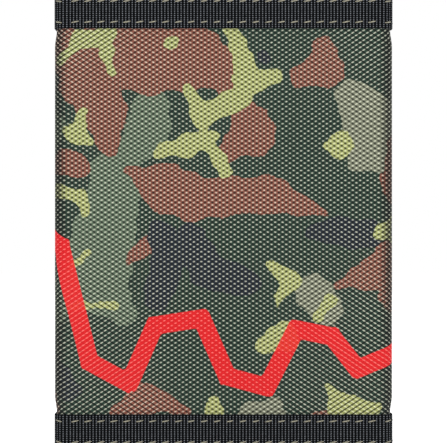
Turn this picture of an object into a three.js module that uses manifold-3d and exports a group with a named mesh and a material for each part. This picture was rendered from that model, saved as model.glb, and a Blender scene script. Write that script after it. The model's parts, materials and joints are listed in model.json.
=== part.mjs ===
// A trifold wallet of printed cloth with bound edges, closed and standing on its bottom edge.
// Millimetres, +Z up. The outside of the centre panel faces -Y and both flaps are folded behind it.
// The cloth is one long strip in use; here each panel and each spine is a rigid plate of it,
// and the fold lines between them are open gaps, one fold's arc long, that turn on hinge axes.
import * as THREE from "three";
import { mergeVertices } from "three/addons/utils/BufferGeometryUtils.js";
import Module from "manifold-3d";

const wasm = await Module();
wasm.setup();

// Overall sizes of the closed wallet.
const closedWidth = 94;
const height = 125.5;

// Cloth, tape and the spaces between them.
const shellThickness = 0.8;
const liningThickness = 0.5;
const pocketThickness = 0.4;
const tapeThickness = 0.6;
const tapeWidth = 9.4;
const plyGap = 0.1;
const panelGap = 0.5;
const foldRadius = 3.5;

// Free edges of the flaps: how far each stops short of the fold it lies against.
const outerFlapShort = 1.5;
const tuckedFlapShort = 9;

// Heights of the lining and of the pocket mouths.
const liningDrop = 12;
const mouthMargin = 6;
const mouthStep = 12;
const pocketSideGap = 0.3;

// Hook-and-loop closure.
const hookWidth = 20;
const hookThickness = 1.1;
const loopMargin = 2;
const loopThickness = 0.8;
const closureMargin = 14;
const closureEdgeGap = 0.3;

// Identity card window.
const windowSideGap = 0.5;
const windowToHook = 1;
const windowTrimHeight = 6;

// Coin pocket and its zip, on the outside of the outer flap.
const zipDrop = 41.5;
const zipTapeWidth = 8.4;
const zipTapeThickness = 0.3;
const coilInset = 8.8;
const coilThickness = 0.9;
const coilWidth = 1.45;
const coilParting = 0.9;
const tapeParting = 1.2;
const stopLength = 1.5;
const pocketSideMargin = 2.8;
const coinClothThickness = 0.6;
const coinSeamWidth = 2;
const coinMouthGap = 0.8;

// Zip slider, its bridge and its pull.
const sliderLength = 8.4;
const sliderWidth = 6.8;
const lowerPlate = 0.35;
const upperPlate = 0.4;
const sliderPost = 0.4;
const coilClearance = 0.3;
const bridgeSpan = 6.7;
const bridgeWidth = 1.2;
const bridgeBar = 0.5;
const pullThickness = 0.6;
const pullLift = 0.15;
const pullLength = 15;
const pullWidth = 5;
const pullArm = 1.3;
const pullBridgeGap = 0.3;
const pullHole = 4.2;

// Depths of the plies, counted inwards from the outside of the binding.
const billRoom = tapeThickness + 2 * plyGap;
const shellDepth = ply(tapeThickness + plyGap, shellThickness);
const liningDepth = ply(shellDepth[1] + billRoom, liningThickness);
const outerLeg = [0, tapeThickness];
const betweenLeg = ply(shellDepth[1] + plyGap, tapeThickness);
const behindLiningLeg = ply(liningDepth[1] + plyGap, tapeThickness);

function ply(start, thickness) {
  return [start, start + thickness];
}

// Depth of the nth pocket ply, from 0 at the lining.
function pocketDepth(n) {
  return ply(liningDepth[1] + plyGap + n * (pocketThickness + plyGap), pocketThickness);
}

// Depth of the binding leg that closes a panel with a number of pocket plies.
function innerLeg(pockets) {
  return ply(liningDepth[1] + plyGap + pockets * (pocketThickness + plyGap), tapeThickness);
}

// Places of the five panels. depthAxis is where depth is counted, from a face at an outside place.
const halfWidth = closedWidth / 2;
const pocketCount = { centre: 3, tucked: 2, outer: 1, spine: 0 };
const centreBack = innerLeg(pocketCount.centre)[1];
const tuckedBack = centreBack + panelGap + innerLeg(pocketCount.tucked)[1];
const outerBack = tuckedBack + panelGap + innerLeg(pocketCount.outer)[1];
const foldInset = shellDepth[0] + foldRadius;
const panelHalf = halfWidth - foldInset;
const spineInside = halfWidth - innerLeg(pocketCount.spine)[1];
const centre = panel("y", 0, 1, [-panelHalf, panelHalf], pocketCount.centre);
const outer = panel("y", outerBack, -1, [-panelHalf, halfWidth - outerFlapShort], pocketCount.outer);
const tucked = panel("y", tuckedBack, -1, [tuckedFlapShort - halfWidth, panelHalf], pocketCount.tucked);
const wideSpine = panel("x", -halfWidth, 1, [foldInset, outerBack - foldInset], pocketCount.spine);
const narrowSpine = panel("x", halfWidth, -1, [foldInset, tuckedBack - foldInset], pocketCount.spine);

function panel(depthAxis, outside, inwards, run, pockets) {
  return { depthAxis, outside, inwards, run, pockets };
}

// Heights that every panel shares.
const clothBottom = tapeThickness + plyGap;
const shellTop = height - tapeThickness - plyGap;
const liningEdge = height - liningDrop;
const liningTop = liningEdge - tapeThickness - plyGap;
const liningTapeBottom = liningEdge - tapeWidth;
const firstMouth = liningTapeBottom - mouthMargin;
const sideBottom = tapeWidth + plyGap;

// Materials.
const printedCloth = material(0x6c6b4b, 0.85, 0);
const blackTape = material(0x1b1d21, 0.8, 0);
const liningCloth = material(0x16171a, 0.9, 0);
const pocketCloth = material(0x202125, 0.85, 0);
const clearVinyl = material(0xc9d2d6, 0.2, 0);
const hookTape = material(0x121214, 0.7, 0);
const loopTape = material(0x17171a, 0.95, 0);
const zipCloth = material(0x141518, 0.85, 0);
const zipNylon = material(0x1a1b1d, 0.45, 0);
const nickel = material(0x9b9ca0, 0.35, 0.9);

function material(color, roughness, metalness) {
  return new THREE.MeshStandardMaterial({ color, roughness, metalness });
}

// Axes that a prism's outline and its length take, so that it runs along x, y or z.
const unit = {
  x: new THREE.Vector3(1, 0, 0),
  y: new THREE.Vector3(0, 1, 0),
  z: new THREE.Vector3(0, 0, 1),
};
const turned = {
  x: new THREE.Matrix4().makeBasis(unit.y, unit.z, unit.x),
  y: new THREE.Matrix4().makeBasis(unit.z, unit.x, unit.y),
  z: new THREE.Matrix4().makeBasis(unit.x, unit.y, unit.z),
};

// A prism along an axis. Its outline is in (y, z) for x, in (z, x) for y and in (x, y) for z.
function prism(axis, outline, [from, to], hole) {
  const shape = new THREE.Shape(outline.map(([u, v]) => new THREE.Vector2(u, v)));
  if (hole) shape.holes.push(new THREE.Path(hole.map(([u, v]) => new THREE.Vector2(u, v))));
  const solid = new THREE.ExtrudeGeometry(shape, { depth: to - from, bevelEnabled: false });
  return solid.translate(0, 0, from).applyMatrix4(turned[axis]);
}

function rectangle([u0, u1], [v0, v1]) {
  return [[u0, v0], [u1, v0], [u1, v1], [u0, v1]];
}

function mesh(name, geometry, look) {
  const made = new THREE.Mesh(geometry, look);
  made.name = name;
  return made;
}

// A block between two places on each axis.
function block(name, look, [x0, x1], [y0, y1], [z0, z1]) {
  const made = mesh(name, new THREE.BoxGeometry(x1 - x0, y1 - y0, z1 - z0), look);
  made.position.set((x0 + x1) / 2, (y0 + y1) / 2, (z0 + z1) / 2);
  return made;
}

// A panel's depths as places on its depth axis, lowest first.
function places(on, depths) {
  return depths.map((d) => on.outside + on.inwards * d).sort((a, b) => a - b);
}

// A flat ply of a panel: along the panel, at a depth, between two heights.
function sheet(name, look, on, run, depths, heights) {
  const across = places(on, depths);
  return on.depthAxis === "y"
    ? block(name, look, run, across, heights)
    : block(name, look, across, run, heights);
}

// A folded tape with two legs: across between the legs' outer faces, deep from its web to its open edge.
function channel(name, axis, across, [web, open], run) {
  const [low, high] = across;
  const floor = web + Math.sign(open - web) * tapeThickness;
  const pairs = [
    [low, web],
    [high, web],
    [high, open],
    [high - tapeThickness, open],
    [high - tapeThickness, floor],
    [low + tapeThickness, floor],
    [low + tapeThickness, open],
    [low, open],
  ];
  const outline = axis === "x" ? pairs : pairs.map(([a, d]) => [d, a]);
  return mesh(name, prism(axis, outline, run), blackTape);
}

// The tapes over a panel's bottom edge, over its shell's top edge and over its lining's top edge.
function levelBindings(prefix, on, tapeRun) {
  const axis = on.depthAxis === "y" ? "x" : "y";
  const bottom = places(on, [outerLeg[0], innerLeg(on.pockets)[1]]);
  const top = places(on, [outerLeg[0], betweenLeg[1]]);
  const lining = places(on, [betweenLeg[0], behindLiningLeg[1]]);
  return [
    channel(`${prefix}_bottom_binding`, axis, bottom, [0, tapeWidth], on.run),
    channel(`${prefix}_top_binding`, axis, top, [height, height - tapeWidth], tapeRun),
    channel(`${prefix}_lining_binding`, axis, lining, [liningEdge, liningTapeBottom], tapeRun),
  ];
}

// The tape over a flap's free side edge, at freeEnd, open towards the fold.
function sideBinding(prefix, on, [freeEnd, openEnd]) {
  const across = places(on, [outerLeg[0], innerLeg(on.pockets)[1]]);
  return channel(`${prefix}_side_binding`, "z", across, [freeEnd, openEnd], [sideBottom, height]);
}

// The shell and the lining of a panel, over a run of cloth.
function cloths(prefix, on, run) {
  return [
    sheet(`${prefix}_shell`, printedCloth, on, run, shellDepth, [clothBottom, shellTop]),
    sheet(`${prefix}_lining`, liningCloth, on, run, liningDepth, [clothBottom, liningTop]),
  ];
}

// Pocket plies from the lining inwards, each mouth a step lower than the one behind it.
function pockets(names, on, run) {
  return names.map((name, n) =>
    sheet(name, pocketCloth, on, run, pocketDepth(n), [clothBottom, firstMouth - n * mouthStep]));
}

function grouped(name, children) {
  const made = new THREE.Group();
  made.name = name;
  made.add(...children);
  return made;
}

function centrePanel() {
  const pocketHalf = spineInside - pocketSideGap;
  return grouped("centre_panel", [
    ...cloths("centre", centre, centre.run),
    ...pockets(["card_pocket_upper", "card_pocket_middle", "card_pocket_lower"], centre, [-pocketHalf, pocketHalf]),
    ...levelBindings("centre", centre, centre.run),
  ]);
}

function spine(name, on) {
  return grouped(name, [...cloths(name, on, on.run), ...levelBindings(name, on, on.run)]);
}

// Where the closure's two strips lie: the hooks beside the outer flap's side binding.
const outerFree = outer.run[1];
const outerTapeStart = outerFree - tapeWidth;
const hookRun = [outerTapeStart - closureEdgeGap - hookWidth, outerTapeStart - closureEdgeGap];
const closureHeights = [tapeWidth + closureMargin, liningTapeBottom - closureMargin];

function tuckedFlap() {
  const [free, fold] = tucked.run;
  const clothRun = [free + tapeThickness + plyGap, fold];
  const tapeRun = [free + tapeWidth + plyGap, fold];
  const loopRun = [hookRun[0] - loopMargin, hookRun[1] + loopMargin];
  const loopDepth = [shellDepth[0] - plyGap - loopThickness, shellDepth[0] - plyGap];
  return grouped("tucked_flap", [
    ...cloths("tucked_flap", tucked, clothRun),
    ...pockets(["slip_pocket_upper", "slip_pocket_lower"], tucked, clothRun),
    ...levelBindings("tucked_flap", tucked, tapeRun),
    sideBinding("tucked_flap", tucked, [free, free + tapeWidth]),
    sheet("loop_strip", loopTape, tucked, loopRun, loopDepth, closureHeights),
  ]);
}

function outerFlap() {
  const fold = outer.run[0];
  const clothRun = [fold, outerFree - tapeThickness - plyGap];
  const tapeRun = [fold, outerTapeStart - plyGap];
  const windowRun = [fold + windowSideGap, hookRun[0] - windowToHook];
  const hookDepth = [liningDepth[1] + plyGap, liningDepth[1] + plyGap + hookThickness];
  const trim = [firstMouth - windowTrimHeight, firstMouth];
  return grouped("outer_flap", [
    ...cloths("outer_flap", outer, clothRun),
    ...levelBindings("outer_flap", outer, tapeRun),
    sideBinding("outer_flap", outer, [outerFree, outerTapeStart]),
    sheet("id_window", clearVinyl, outer, windowRun, pocketDepth(0), [clothBottom, firstMouth]),
    sheet("id_window_trim", blackTape, outer, windowRun, innerLeg(outer.pockets), trim),
    sheet("hook_strip", hookTape, outer, hookRun, hookDepth, closureHeights),
  ]);
}

// Layers of the zip, outwards from the outer flap's shell.
const shellOutside = outerBack - shellDepth[0];
const lowerPlateY = ply(shellOutside + plyGap, lowerPlate);
const zipTapeY = ply(lowerPlateY[1] + plyGap, zipTapeThickness);
const coilY = ply(zipTapeY[1] + plyGap, coilThickness);
const upperPlateY = ply(coilY[1] + plyGap, upperPlate);
const pullY = ply(upperPlateY[1] + pullLift, pullThickness);
const bridgeY = [upperPlateY[1], pullY[1] + plyGap + bridgeBar];
const zipHeight = height - zipDrop;
const pocketRun = [outer.run[0] + pocketSideMargin, outerTapeStart - plyGap];
const coilRun = [outer.run[0] + coilInset, outerTapeStart - plyGap - (coilInset - pocketSideMargin)];

// Heights from the zip's centre line, on the side given by a sign.
function fromZip(side, [near, far]) {
  return [zipHeight + side * near, zipHeight + side * far].sort((a, b) => a - b);
}

function zipHalf(word, side) {
  const tapeHeights = fromZip(side, ply(tapeParting / 2, zipTapeWidth));
  const coilHeights = fromZip(side, ply(coilParting / 2, coilWidth));
  return [
    block(`zip_tape_${word}`, zipCloth, pocketRun, zipTapeY, tapeHeights),
    block(`zip_coil_${word}`, zipNylon, coilRun, coilY, coilHeights),
  ];
}

function zipStop(word, edge, side) {
  const reach = coilParting / 2 + coilWidth;
  const run = [edge + side * plyGap, edge + side * (plyGap + stopLength)].sort((a, b) => a - b);
  return block(`zip_stop_${word}`, nickel, run, coilY, fromZip(1, [-reach, reach]));
}

// Joins solids that overlap into one closed body.
function joined(solids) {
  const whole = solids.map(toManifold).reduce((a, b) => a.add(b));
  const { vertProperties, triVerts } = whole.getMesh();
  const merged = new THREE.BufferGeometry();
  merged.setAttribute("position", new THREE.BufferAttribute(vertProperties, 3));
  merged.setIndex(new THREE.BufferAttribute(triVerts, 1));
  merged.computeVertexNormals();
  return merged;
}

function toManifold(geometry) {
  const bare = geometry.clone();
  bare.deleteAttribute("normal");
  bare.deleteAttribute("uv");
  const merged = mergeVertices(bare);
  const vertProperties = merged.attributes.position.array;
  const triVerts = Uint32Array.from(merged.index.array);
  return new wasm.Manifold(new wasm.Mesh({ numProp: 3, vertProperties, triVerts }));
}

// A cloth front with a seam on three sides that stands on the shell, open at the top under the zip.
function coinPocket() {
  const clothY = ply(zipTapeY[1] + plyGap, coinClothThickness);
  const seamY = [shellOutside + plyGap, clothY[1]];
  const mouth = zipHeight - sliderWidth / 2 - coinMouthGap;
  const seamTop = zipHeight - tapeParting / 2 - zipTapeWidth - plyGap;
  const [left, right] = pocketRun;
  const seam = [
    [left, sideBottom],
    [right, sideBottom],
    [right, seamTop],
    [right - coinSeamWidth, seamTop],
    [right - coinSeamWidth, sideBottom + coinSeamWidth],
    [left + coinSeamWidth, sideBottom + coinSeamWidth],
    [left + coinSeamWidth, seamTop],
    [left, seamTop],
  ];
  const front = prism("y", rectangle([sideBottom, mouth], pocketRun), clothY);
  const rim = prism("y", seam.map(([x, z]) => [z, x]), seamY);
  return mesh("coin_pocket", joined([front, rim]), pocketCloth);
}

// Where the slider stands with the zip closed: against the right stop.
const sliderPlace = coilRun[1] - sliderLength / 2 - coilClearance;

// The slider's section in (y, z): two plates, a thin post between the coils and a flange beyond each coil.
function sliderSection() {
  const half = sliderWidth / 2;
  const post = sliderPost / 2;
  const flange = coilParting / 2 + coilWidth + coilClearance;
  const low = lowerPlateY;
  const up = upperPlateY;
  const above = [
    [up[0], post],
    [up[0], flange],
    [coilY[0], flange],
    [coilY[0], half],
    [up[1], half],
  ];
  const right = [[low[0], half], [low[1], half], [low[1], post], ...above];
  const left = right.map(([y, z]) => [y, -z]).reverse();
  return [...right, ...left].map(([y, z]) => [y, zipHeight + z]);
}

function slider() {
  const run = [sliderPlace - sliderLength / 2, sliderPlace + sliderLength / 2];
  return mesh("zip_slider", prism("x", sliderSection(), run), nickel);
}

// An arch that stands on the slider over the pull's end bar, in (x, y).
function bridge() {
  const half = bridgeSpan / 2;
  const [foot, crown] = bridgeY;
  const inside = half - bridgeBar;
  const outline = [
    [-half, foot],
    [-inside, foot],
    [-inside, crown - bridgeBar],
    [inside, crown - bridgeBar],
    [inside, foot],
    [half, foot],
    [half, crown],
    [-half, crown],
  ].map(([x, y]) => [sliderPlace + x, y]);
  return mesh("zip_bridge", prism("z", outline, fromZip(1, [-bridgeWidth / 2, bridgeWidth / 2])), nickel);
}

// A flat tab whose end bar lies under the bridge. It turns about that bar.
function pull() {
  const bar = pullThickness / 2;
  const eye = bridgeWidth / 2 + pullBridgeGap;
  const arm = eye + pullArm;
  const half = pullWidth / 2;
  const shoulder = pullHole + pullArm;
  const upper = [
    [bar, arm],
    [-shoulder, half],
    [-pullLength + half / 2, half],
    [-pullLength, half / 2],
  ];
  const lower = upper.map(([x, z]) => [x, -z]).reverse();
  const outline = [...upper, ...lower].map(([x, z]) => [zipHeight + z, sliderPlace + x]);
  const hole = rectangle([zipHeight - eye, zipHeight + eye], [sliderPlace - pullHole, sliderPlace - bar]);
  return mesh("zip_pull", prism("y", outline, pullY, hole), nickel);
}

function coinPocketAndZip() {
  return [
    coinPocket(),
    ...zipHalf("upper", 1),
    ...zipHalf("lower", -1),
    zipStop("left", coilRun[0], -1),
    zipStop("right", coilRun[1], 1),
  ];
}

// Each group holds what moves together, inside the group that it turns on.
const pullGroup = grouped("zip_pull", [pull()]);
const sliderGroup = grouped("zip_slider", [slider(), bridge(), pullGroup]);
const outerGroup = outerFlap();
outerGroup.add(...coinPocketAndZip(), sliderGroup);
const wideGroup = spine("wide_spine", wideSpine);
wideGroup.add(outerGroup);
const narrowGroup = spine("narrow_spine", narrowSpine);
narrowGroup.add(tuckedFlap());
const wallet = centrePanel();
wallet.add(wideGroup, narrowGroup);
wallet.position.y = -bridgeY[1] / 2;

const part = new THREE.Group();
part.name = "trifold_wallet";
part.add(wallet);

export default part;
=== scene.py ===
"""A trifold wallet of printed cloth with bound edges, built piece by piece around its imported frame."""

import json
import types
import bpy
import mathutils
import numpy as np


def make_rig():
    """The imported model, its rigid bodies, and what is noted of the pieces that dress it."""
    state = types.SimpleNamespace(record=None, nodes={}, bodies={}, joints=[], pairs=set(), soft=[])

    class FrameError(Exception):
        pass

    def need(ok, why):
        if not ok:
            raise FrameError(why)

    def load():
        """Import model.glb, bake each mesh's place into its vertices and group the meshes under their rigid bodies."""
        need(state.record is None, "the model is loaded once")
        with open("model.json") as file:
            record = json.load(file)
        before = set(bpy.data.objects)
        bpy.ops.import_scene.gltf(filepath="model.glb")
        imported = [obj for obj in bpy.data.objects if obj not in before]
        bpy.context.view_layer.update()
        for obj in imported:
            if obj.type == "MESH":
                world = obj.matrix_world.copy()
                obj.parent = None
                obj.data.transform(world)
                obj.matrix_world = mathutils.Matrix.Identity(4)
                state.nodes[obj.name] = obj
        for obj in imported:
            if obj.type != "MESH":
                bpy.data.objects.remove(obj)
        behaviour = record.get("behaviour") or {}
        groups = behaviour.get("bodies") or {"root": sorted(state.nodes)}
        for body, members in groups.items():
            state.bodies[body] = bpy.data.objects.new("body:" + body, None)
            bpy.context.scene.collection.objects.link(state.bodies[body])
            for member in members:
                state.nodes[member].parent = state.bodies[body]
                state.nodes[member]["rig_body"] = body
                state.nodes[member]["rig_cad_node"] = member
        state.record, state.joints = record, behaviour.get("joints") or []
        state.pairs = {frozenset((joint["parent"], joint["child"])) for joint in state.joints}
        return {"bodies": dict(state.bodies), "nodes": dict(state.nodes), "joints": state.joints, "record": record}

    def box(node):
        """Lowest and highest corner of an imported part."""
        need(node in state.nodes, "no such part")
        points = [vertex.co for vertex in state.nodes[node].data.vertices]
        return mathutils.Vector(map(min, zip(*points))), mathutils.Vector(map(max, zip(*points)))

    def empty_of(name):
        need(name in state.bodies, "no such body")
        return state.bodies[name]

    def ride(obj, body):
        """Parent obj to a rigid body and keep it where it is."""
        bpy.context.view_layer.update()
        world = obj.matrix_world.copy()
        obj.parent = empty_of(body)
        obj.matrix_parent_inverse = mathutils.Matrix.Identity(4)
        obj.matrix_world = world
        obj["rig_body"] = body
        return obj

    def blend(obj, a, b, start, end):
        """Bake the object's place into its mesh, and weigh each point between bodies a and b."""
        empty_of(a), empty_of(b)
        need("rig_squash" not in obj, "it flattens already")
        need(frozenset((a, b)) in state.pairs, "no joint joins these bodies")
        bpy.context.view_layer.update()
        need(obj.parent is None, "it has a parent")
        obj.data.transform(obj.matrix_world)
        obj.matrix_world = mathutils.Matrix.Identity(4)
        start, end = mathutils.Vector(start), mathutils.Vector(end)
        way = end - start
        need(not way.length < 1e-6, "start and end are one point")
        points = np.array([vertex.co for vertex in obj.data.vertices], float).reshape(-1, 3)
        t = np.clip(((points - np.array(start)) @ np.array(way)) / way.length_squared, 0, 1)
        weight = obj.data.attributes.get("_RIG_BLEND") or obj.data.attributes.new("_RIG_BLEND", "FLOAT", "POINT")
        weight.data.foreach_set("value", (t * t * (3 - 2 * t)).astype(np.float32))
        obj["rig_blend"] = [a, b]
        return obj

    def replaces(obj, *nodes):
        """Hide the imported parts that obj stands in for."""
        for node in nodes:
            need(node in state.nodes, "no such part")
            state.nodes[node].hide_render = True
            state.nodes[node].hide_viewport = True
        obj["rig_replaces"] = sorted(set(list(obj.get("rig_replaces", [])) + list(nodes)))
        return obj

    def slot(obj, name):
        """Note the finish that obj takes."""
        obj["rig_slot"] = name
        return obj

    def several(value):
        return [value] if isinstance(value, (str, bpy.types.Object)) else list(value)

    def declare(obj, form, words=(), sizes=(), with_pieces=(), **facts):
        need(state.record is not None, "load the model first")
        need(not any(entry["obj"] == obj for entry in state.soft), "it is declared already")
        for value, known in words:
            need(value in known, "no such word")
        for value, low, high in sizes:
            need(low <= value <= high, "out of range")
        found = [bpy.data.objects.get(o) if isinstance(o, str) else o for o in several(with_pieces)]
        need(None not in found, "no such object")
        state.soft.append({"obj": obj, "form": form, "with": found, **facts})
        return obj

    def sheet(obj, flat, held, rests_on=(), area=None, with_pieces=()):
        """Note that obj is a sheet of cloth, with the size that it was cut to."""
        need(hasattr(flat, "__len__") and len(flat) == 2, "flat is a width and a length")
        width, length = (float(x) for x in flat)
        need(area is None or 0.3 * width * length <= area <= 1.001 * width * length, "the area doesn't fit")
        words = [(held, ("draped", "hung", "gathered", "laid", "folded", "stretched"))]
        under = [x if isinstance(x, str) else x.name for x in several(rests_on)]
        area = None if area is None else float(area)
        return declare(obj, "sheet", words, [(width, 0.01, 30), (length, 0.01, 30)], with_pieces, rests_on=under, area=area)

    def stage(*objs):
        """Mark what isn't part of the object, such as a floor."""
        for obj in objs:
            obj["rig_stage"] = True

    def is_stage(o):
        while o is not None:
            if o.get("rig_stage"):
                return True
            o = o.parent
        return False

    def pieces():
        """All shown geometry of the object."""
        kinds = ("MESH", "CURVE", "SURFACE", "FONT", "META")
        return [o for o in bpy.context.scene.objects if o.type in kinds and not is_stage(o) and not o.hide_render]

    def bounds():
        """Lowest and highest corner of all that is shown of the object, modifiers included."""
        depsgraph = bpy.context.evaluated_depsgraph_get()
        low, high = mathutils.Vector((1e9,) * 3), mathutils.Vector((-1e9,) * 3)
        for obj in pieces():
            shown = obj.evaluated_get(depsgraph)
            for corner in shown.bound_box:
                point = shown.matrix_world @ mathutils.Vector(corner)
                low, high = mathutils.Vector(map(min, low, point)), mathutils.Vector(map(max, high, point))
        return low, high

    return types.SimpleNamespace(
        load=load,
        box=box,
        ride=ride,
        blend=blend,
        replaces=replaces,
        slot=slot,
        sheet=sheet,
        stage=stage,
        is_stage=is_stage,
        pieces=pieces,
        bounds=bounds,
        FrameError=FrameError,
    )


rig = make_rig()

bl_info = {
    "name": "Trifold Wallet",
    "version": (1, 0, 0),
    "blender": (4, 5, 0),
    "location": "View3D > Sidebar > Wallet",
    "description": "Builds a cloth trifold wallet with its pockets, closure and coin zip",
    "category": "Add Mesh",
}

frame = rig.load()

import json
import math

import bmesh
import bpy
import numpy as np
from mathutils import Vector

CAD_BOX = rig.bounds()
MM = 0.001
QUARTER_TURN = math.pi / 2
FULL_TURN = 2 * math.pi
SMOOTH_ANGLE = math.radians(38)


# ---------------------------------------------------------------- sizes and colours

def length(label, description, millimetres):
    """A length that a user can change, given here in millimetres."""
    return bpy.props.FloatProperty(
        name=label, description=description, default=millimetres * MM, min=0.0, unit="LENGTH", precision=5
    )


def linear(level):
    """A screen level from 0 to 255 as the linear light that shaders take."""
    share = level / 255
    return share / 12.92 if share <= 0.04045 else ((share + 0.055) / 1.055) ** 2.4


def colour(label, description, red, green, blue):
    """A colour that a user can change, given here in screen levels."""
    return bpy.props.FloatVectorProperty(
        name=label,
        description=description,
        default=(linear(red), linear(green), linear(blue)),
        min=0.0,
        max=1.0,
        subtype="COLOR",
    )


class WalletSizes(bpy.types.PropertyGroup):
    """Sizes of the cloth, the tape and the thread."""

    cloth_grid: length("Cloth grid", "Step of the mesh on the printed cloth", 0.8)
    weave_across: length("Weave across", "Distance between neighbouring thread columns", 1.02)
    weave_up: length("Weave up", "Distance between neighbouring thread rows", 0.68)
    fine_weave: length("Fine weave", "Distance between the threads of the thin cloths", 0.45)
    print_edge: length("Print edge", "Width over which two printed colours meet", 0.22)
    print_blend: length("Patch rounding", "How softly the discs of a patch run together", 1.2)
    ribbon_width: length("Ribbon width", "Width of the printed ribbon", 5.0)
    rib_pitch: length("Rib pitch", "Distance between the ribs of the binding tape", 0.9)
    rib_depth: length("Rib depth", "Depth of the grooves between the ribs", 0.16)
    stitch_pitch: length("Stitch pitch", "Distance from one stitch to the next", 3.45)
    stitch_length: length("Stitch length", "Length of thread that shows on the surface", 2.1)
    stitch_slant: length("Stitch slant", "Rise of a stitch from its middle to its end", 0.2)
    stitch_inset: length("Stitch inset", "Distance of a stitch row from the edge of its tape", 1.8)
    thread_radius: length("Thread radius", "Half the thickness of the sewing thread", 0.2)
    cloth_bulge: length("Cloth bulge", "How far the printed cloth stands out between its tapes", 0.55)
    hem_width: length("Hem width", "Width of the folded hem at a pocket's mouth", 5.0)
    hook_pitch: length("Hook pitch", "Distance between the hooks of the closure", 1.25)
    loop_pitch: length("Loop pitch", "Distance between the loops of the closure", 0.95)
    coil_pitch: length("Coil pitch", "Distance between the turns of the zip coil", 1.1)
    coil_radius: length("Coil thread radius", "Half the thickness of the zip coil's wire", 0.22)


class WalletColours(bpy.types.PropertyGroup):
    """Colours of the cloth, the tape and the thread."""

    dark_green: colour("Dark green", "Ground of the camouflage", 46, 68, 56)
    olive: colour("Olive", "Pale grey patches", 138, 142, 120)
    sage: colour("Sage", "Grey green patches", 104, 122, 100)
    rust: colour("Rust", "Brown patches", 144, 88, 72)
    navy: colour("Navy", "Darkest patches", 40, 48, 58)
    lime: colour("Lime", "Lightest patches", 178, 184, 116)
    ribbon: colour("Ribbon", "Printed ribbon", 216, 26, 32)
    tape: colour("Tape", "Grooves of the binding tape", 6, 7, 9)
    # A painted highlight on the crowns of the tape's ribs.
    tape_rib: colour("Tape rib", "Crowns of the tape's ribs", 122, 126, 132)
    thread: colour("Thread", "Sewing thread", 176, 172, 148)
    lining: colour("Lining", "Thin coated cloth", 30, 31, 35)
    pocket: colour("Pocket cloth", "Woven pockets", 42, 43, 48)
    black_plastic: colour("Black plastic", "Closure and zip coil", 26, 27, 30)
    nickel: colour("Nickel", "Zip metal", 128, 127, 125)
    vinyl: colour("Vinyl", "Clear window", 214, 222, 226)
    floor: colour("Floor", "Pale floor", 245, 245, 245)


def sizes():
    """The sizes in the scene, with the user's changes."""
    return bpy.context.scene.wallet_sizes


def colours():
    """The colours in the scene, with the user's changes."""
    return bpy.context.scene.wallet_colours


# ---------------------------------------------------------------- shader maths and finishes

class Value:
    """A socket that carries one number, so that shader maths reads as an expression."""

    def __init__(self, finish, socket):
        self.finish = finish
        self.socket = socket

    def maths(self, operation, *terms, clamp=False):
        """A new value from a Math node, with plain numbers or values as its terms."""
        plain = [term.socket if isinstance(term, Value) else term for term in terms]
        settings = {"operation": operation, "use_clamp": clamp}
        node = self.finish.node("ShaderNodeMath", settings, dict(enumerate(plain)))
        return Value(self.finish, node.outputs[0])

    def __add__(self, other):
        return self.maths("ADD", self, other)

    def __sub__(self, other):
        return self.maths("SUBTRACT", self, other)

    def __rsub__(self, other):
        return self.maths("SUBTRACT", other, self)

    def __mul__(self, other):
        return self.maths("MULTIPLY", self, other)

    __radd__ = __add__
    __rmul__ = __mul__

    def cosine(self):
        return self.maths("COSINE", self)

    def sine(self):
        return self.maths("SINE", self)

    def size(self):
        return self.maths("ABSOLUTE", self)

    def within(self, limit):
        below = self.maths("MINIMUM", self, limit)
        return below.maths("MAXIMUM", below, -limit)

    def clamped(self):
        return self.maths("ADD", self, 0.0, clamp=True)


class Finish:
    """A material in the making, around one Principled shader."""

    MIX_FACTOR, MIX_FIRST, MIX_SECOND, MIX_RESULT = 0, 6, 7, 2

    def __init__(self, name, **constants):
        self.material = bpy.data.materials.new(name)
        self.material.use_nodes = True
        self.tree = self.material.node_tree
        self.shader = self.tree.nodes["Principled BSDF"]
        for socket, constant in constants.items():
            self.shader.inputs[socket.replace("_", " ")].default_value = constant

    def node(self, kind, settings=None, inputs=None):
        """Adds a node of a type, with its settings first and then its sockets' values or links."""
        made = self.tree.nodes.new(kind)
        for setting, chosen in (settings or {}).items():
            setattr(made, setting, chosen)
        for socket, given in (inputs or {}).items():
            self.feed(made.inputs[socket], given)
        return made

    def feed(self, socket, given):
        given = given.socket if isinstance(given, Value) else given
        if isinstance(given, bpy.types.NodeSocket):
            self.tree.links.new(given, socket)
        else:
            socket.default_value = given

    def flat_place(self):
        """Millimetres along and across the flat cloth, as two values."""
        read = self.node("ShaderNodeAttribute", {"attribute_name": "cloth"})
        parted = self.node("ShaderNodeSeparateXYZ", None, {0: read.outputs["Vector"]})
        return Value(self, parted.outputs[0]), Value(self, parted.outputs[1])

    def number(self, attribute):
        """A number stored on the mesh's points."""
        read = self.node("ShaderNodeAttribute", {"attribute_name": attribute})
        return Value(self, read.outputs["Fac"])

    def noise(self, scale, detail=3.0, roughness=0.55):
        """Soft noise over the piece, from about 0 to 1, with a scale in bumps to a metre."""
        place = self.node("ShaderNodeTexCoord").outputs["Object"]
        values = {"Vector": place, "Scale": scale, "Detail": detail, "Roughness": roughness}
        return Value(self, self.node("ShaderNodeTexNoise", None, values).outputs["Fac"])

    def mix(self, factor, first, second):
        values = {self.MIX_FACTOR: factor, self.MIX_FIRST: first, self.MIX_SECOND: second}
        return self.node("ShaderNodeMix", {"data_type": "RGBA"}, values).outputs[self.MIX_RESULT]

    def colour(self, given):
        self.feed(self.shader.inputs["Base Color"], given)

    def roughness(self, given):
        self.feed(self.shader.inputs["Roughness"], given)

    def bump(self, height, depth, strength=1.0):
        values = {"Height": height, "Distance": depth, "Strength": strength}
        normal = self.node("ShaderNodeBump", None, values).outputs["Normal"]
        self.feed(self.shader.inputs["Normal"], normal)


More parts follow.
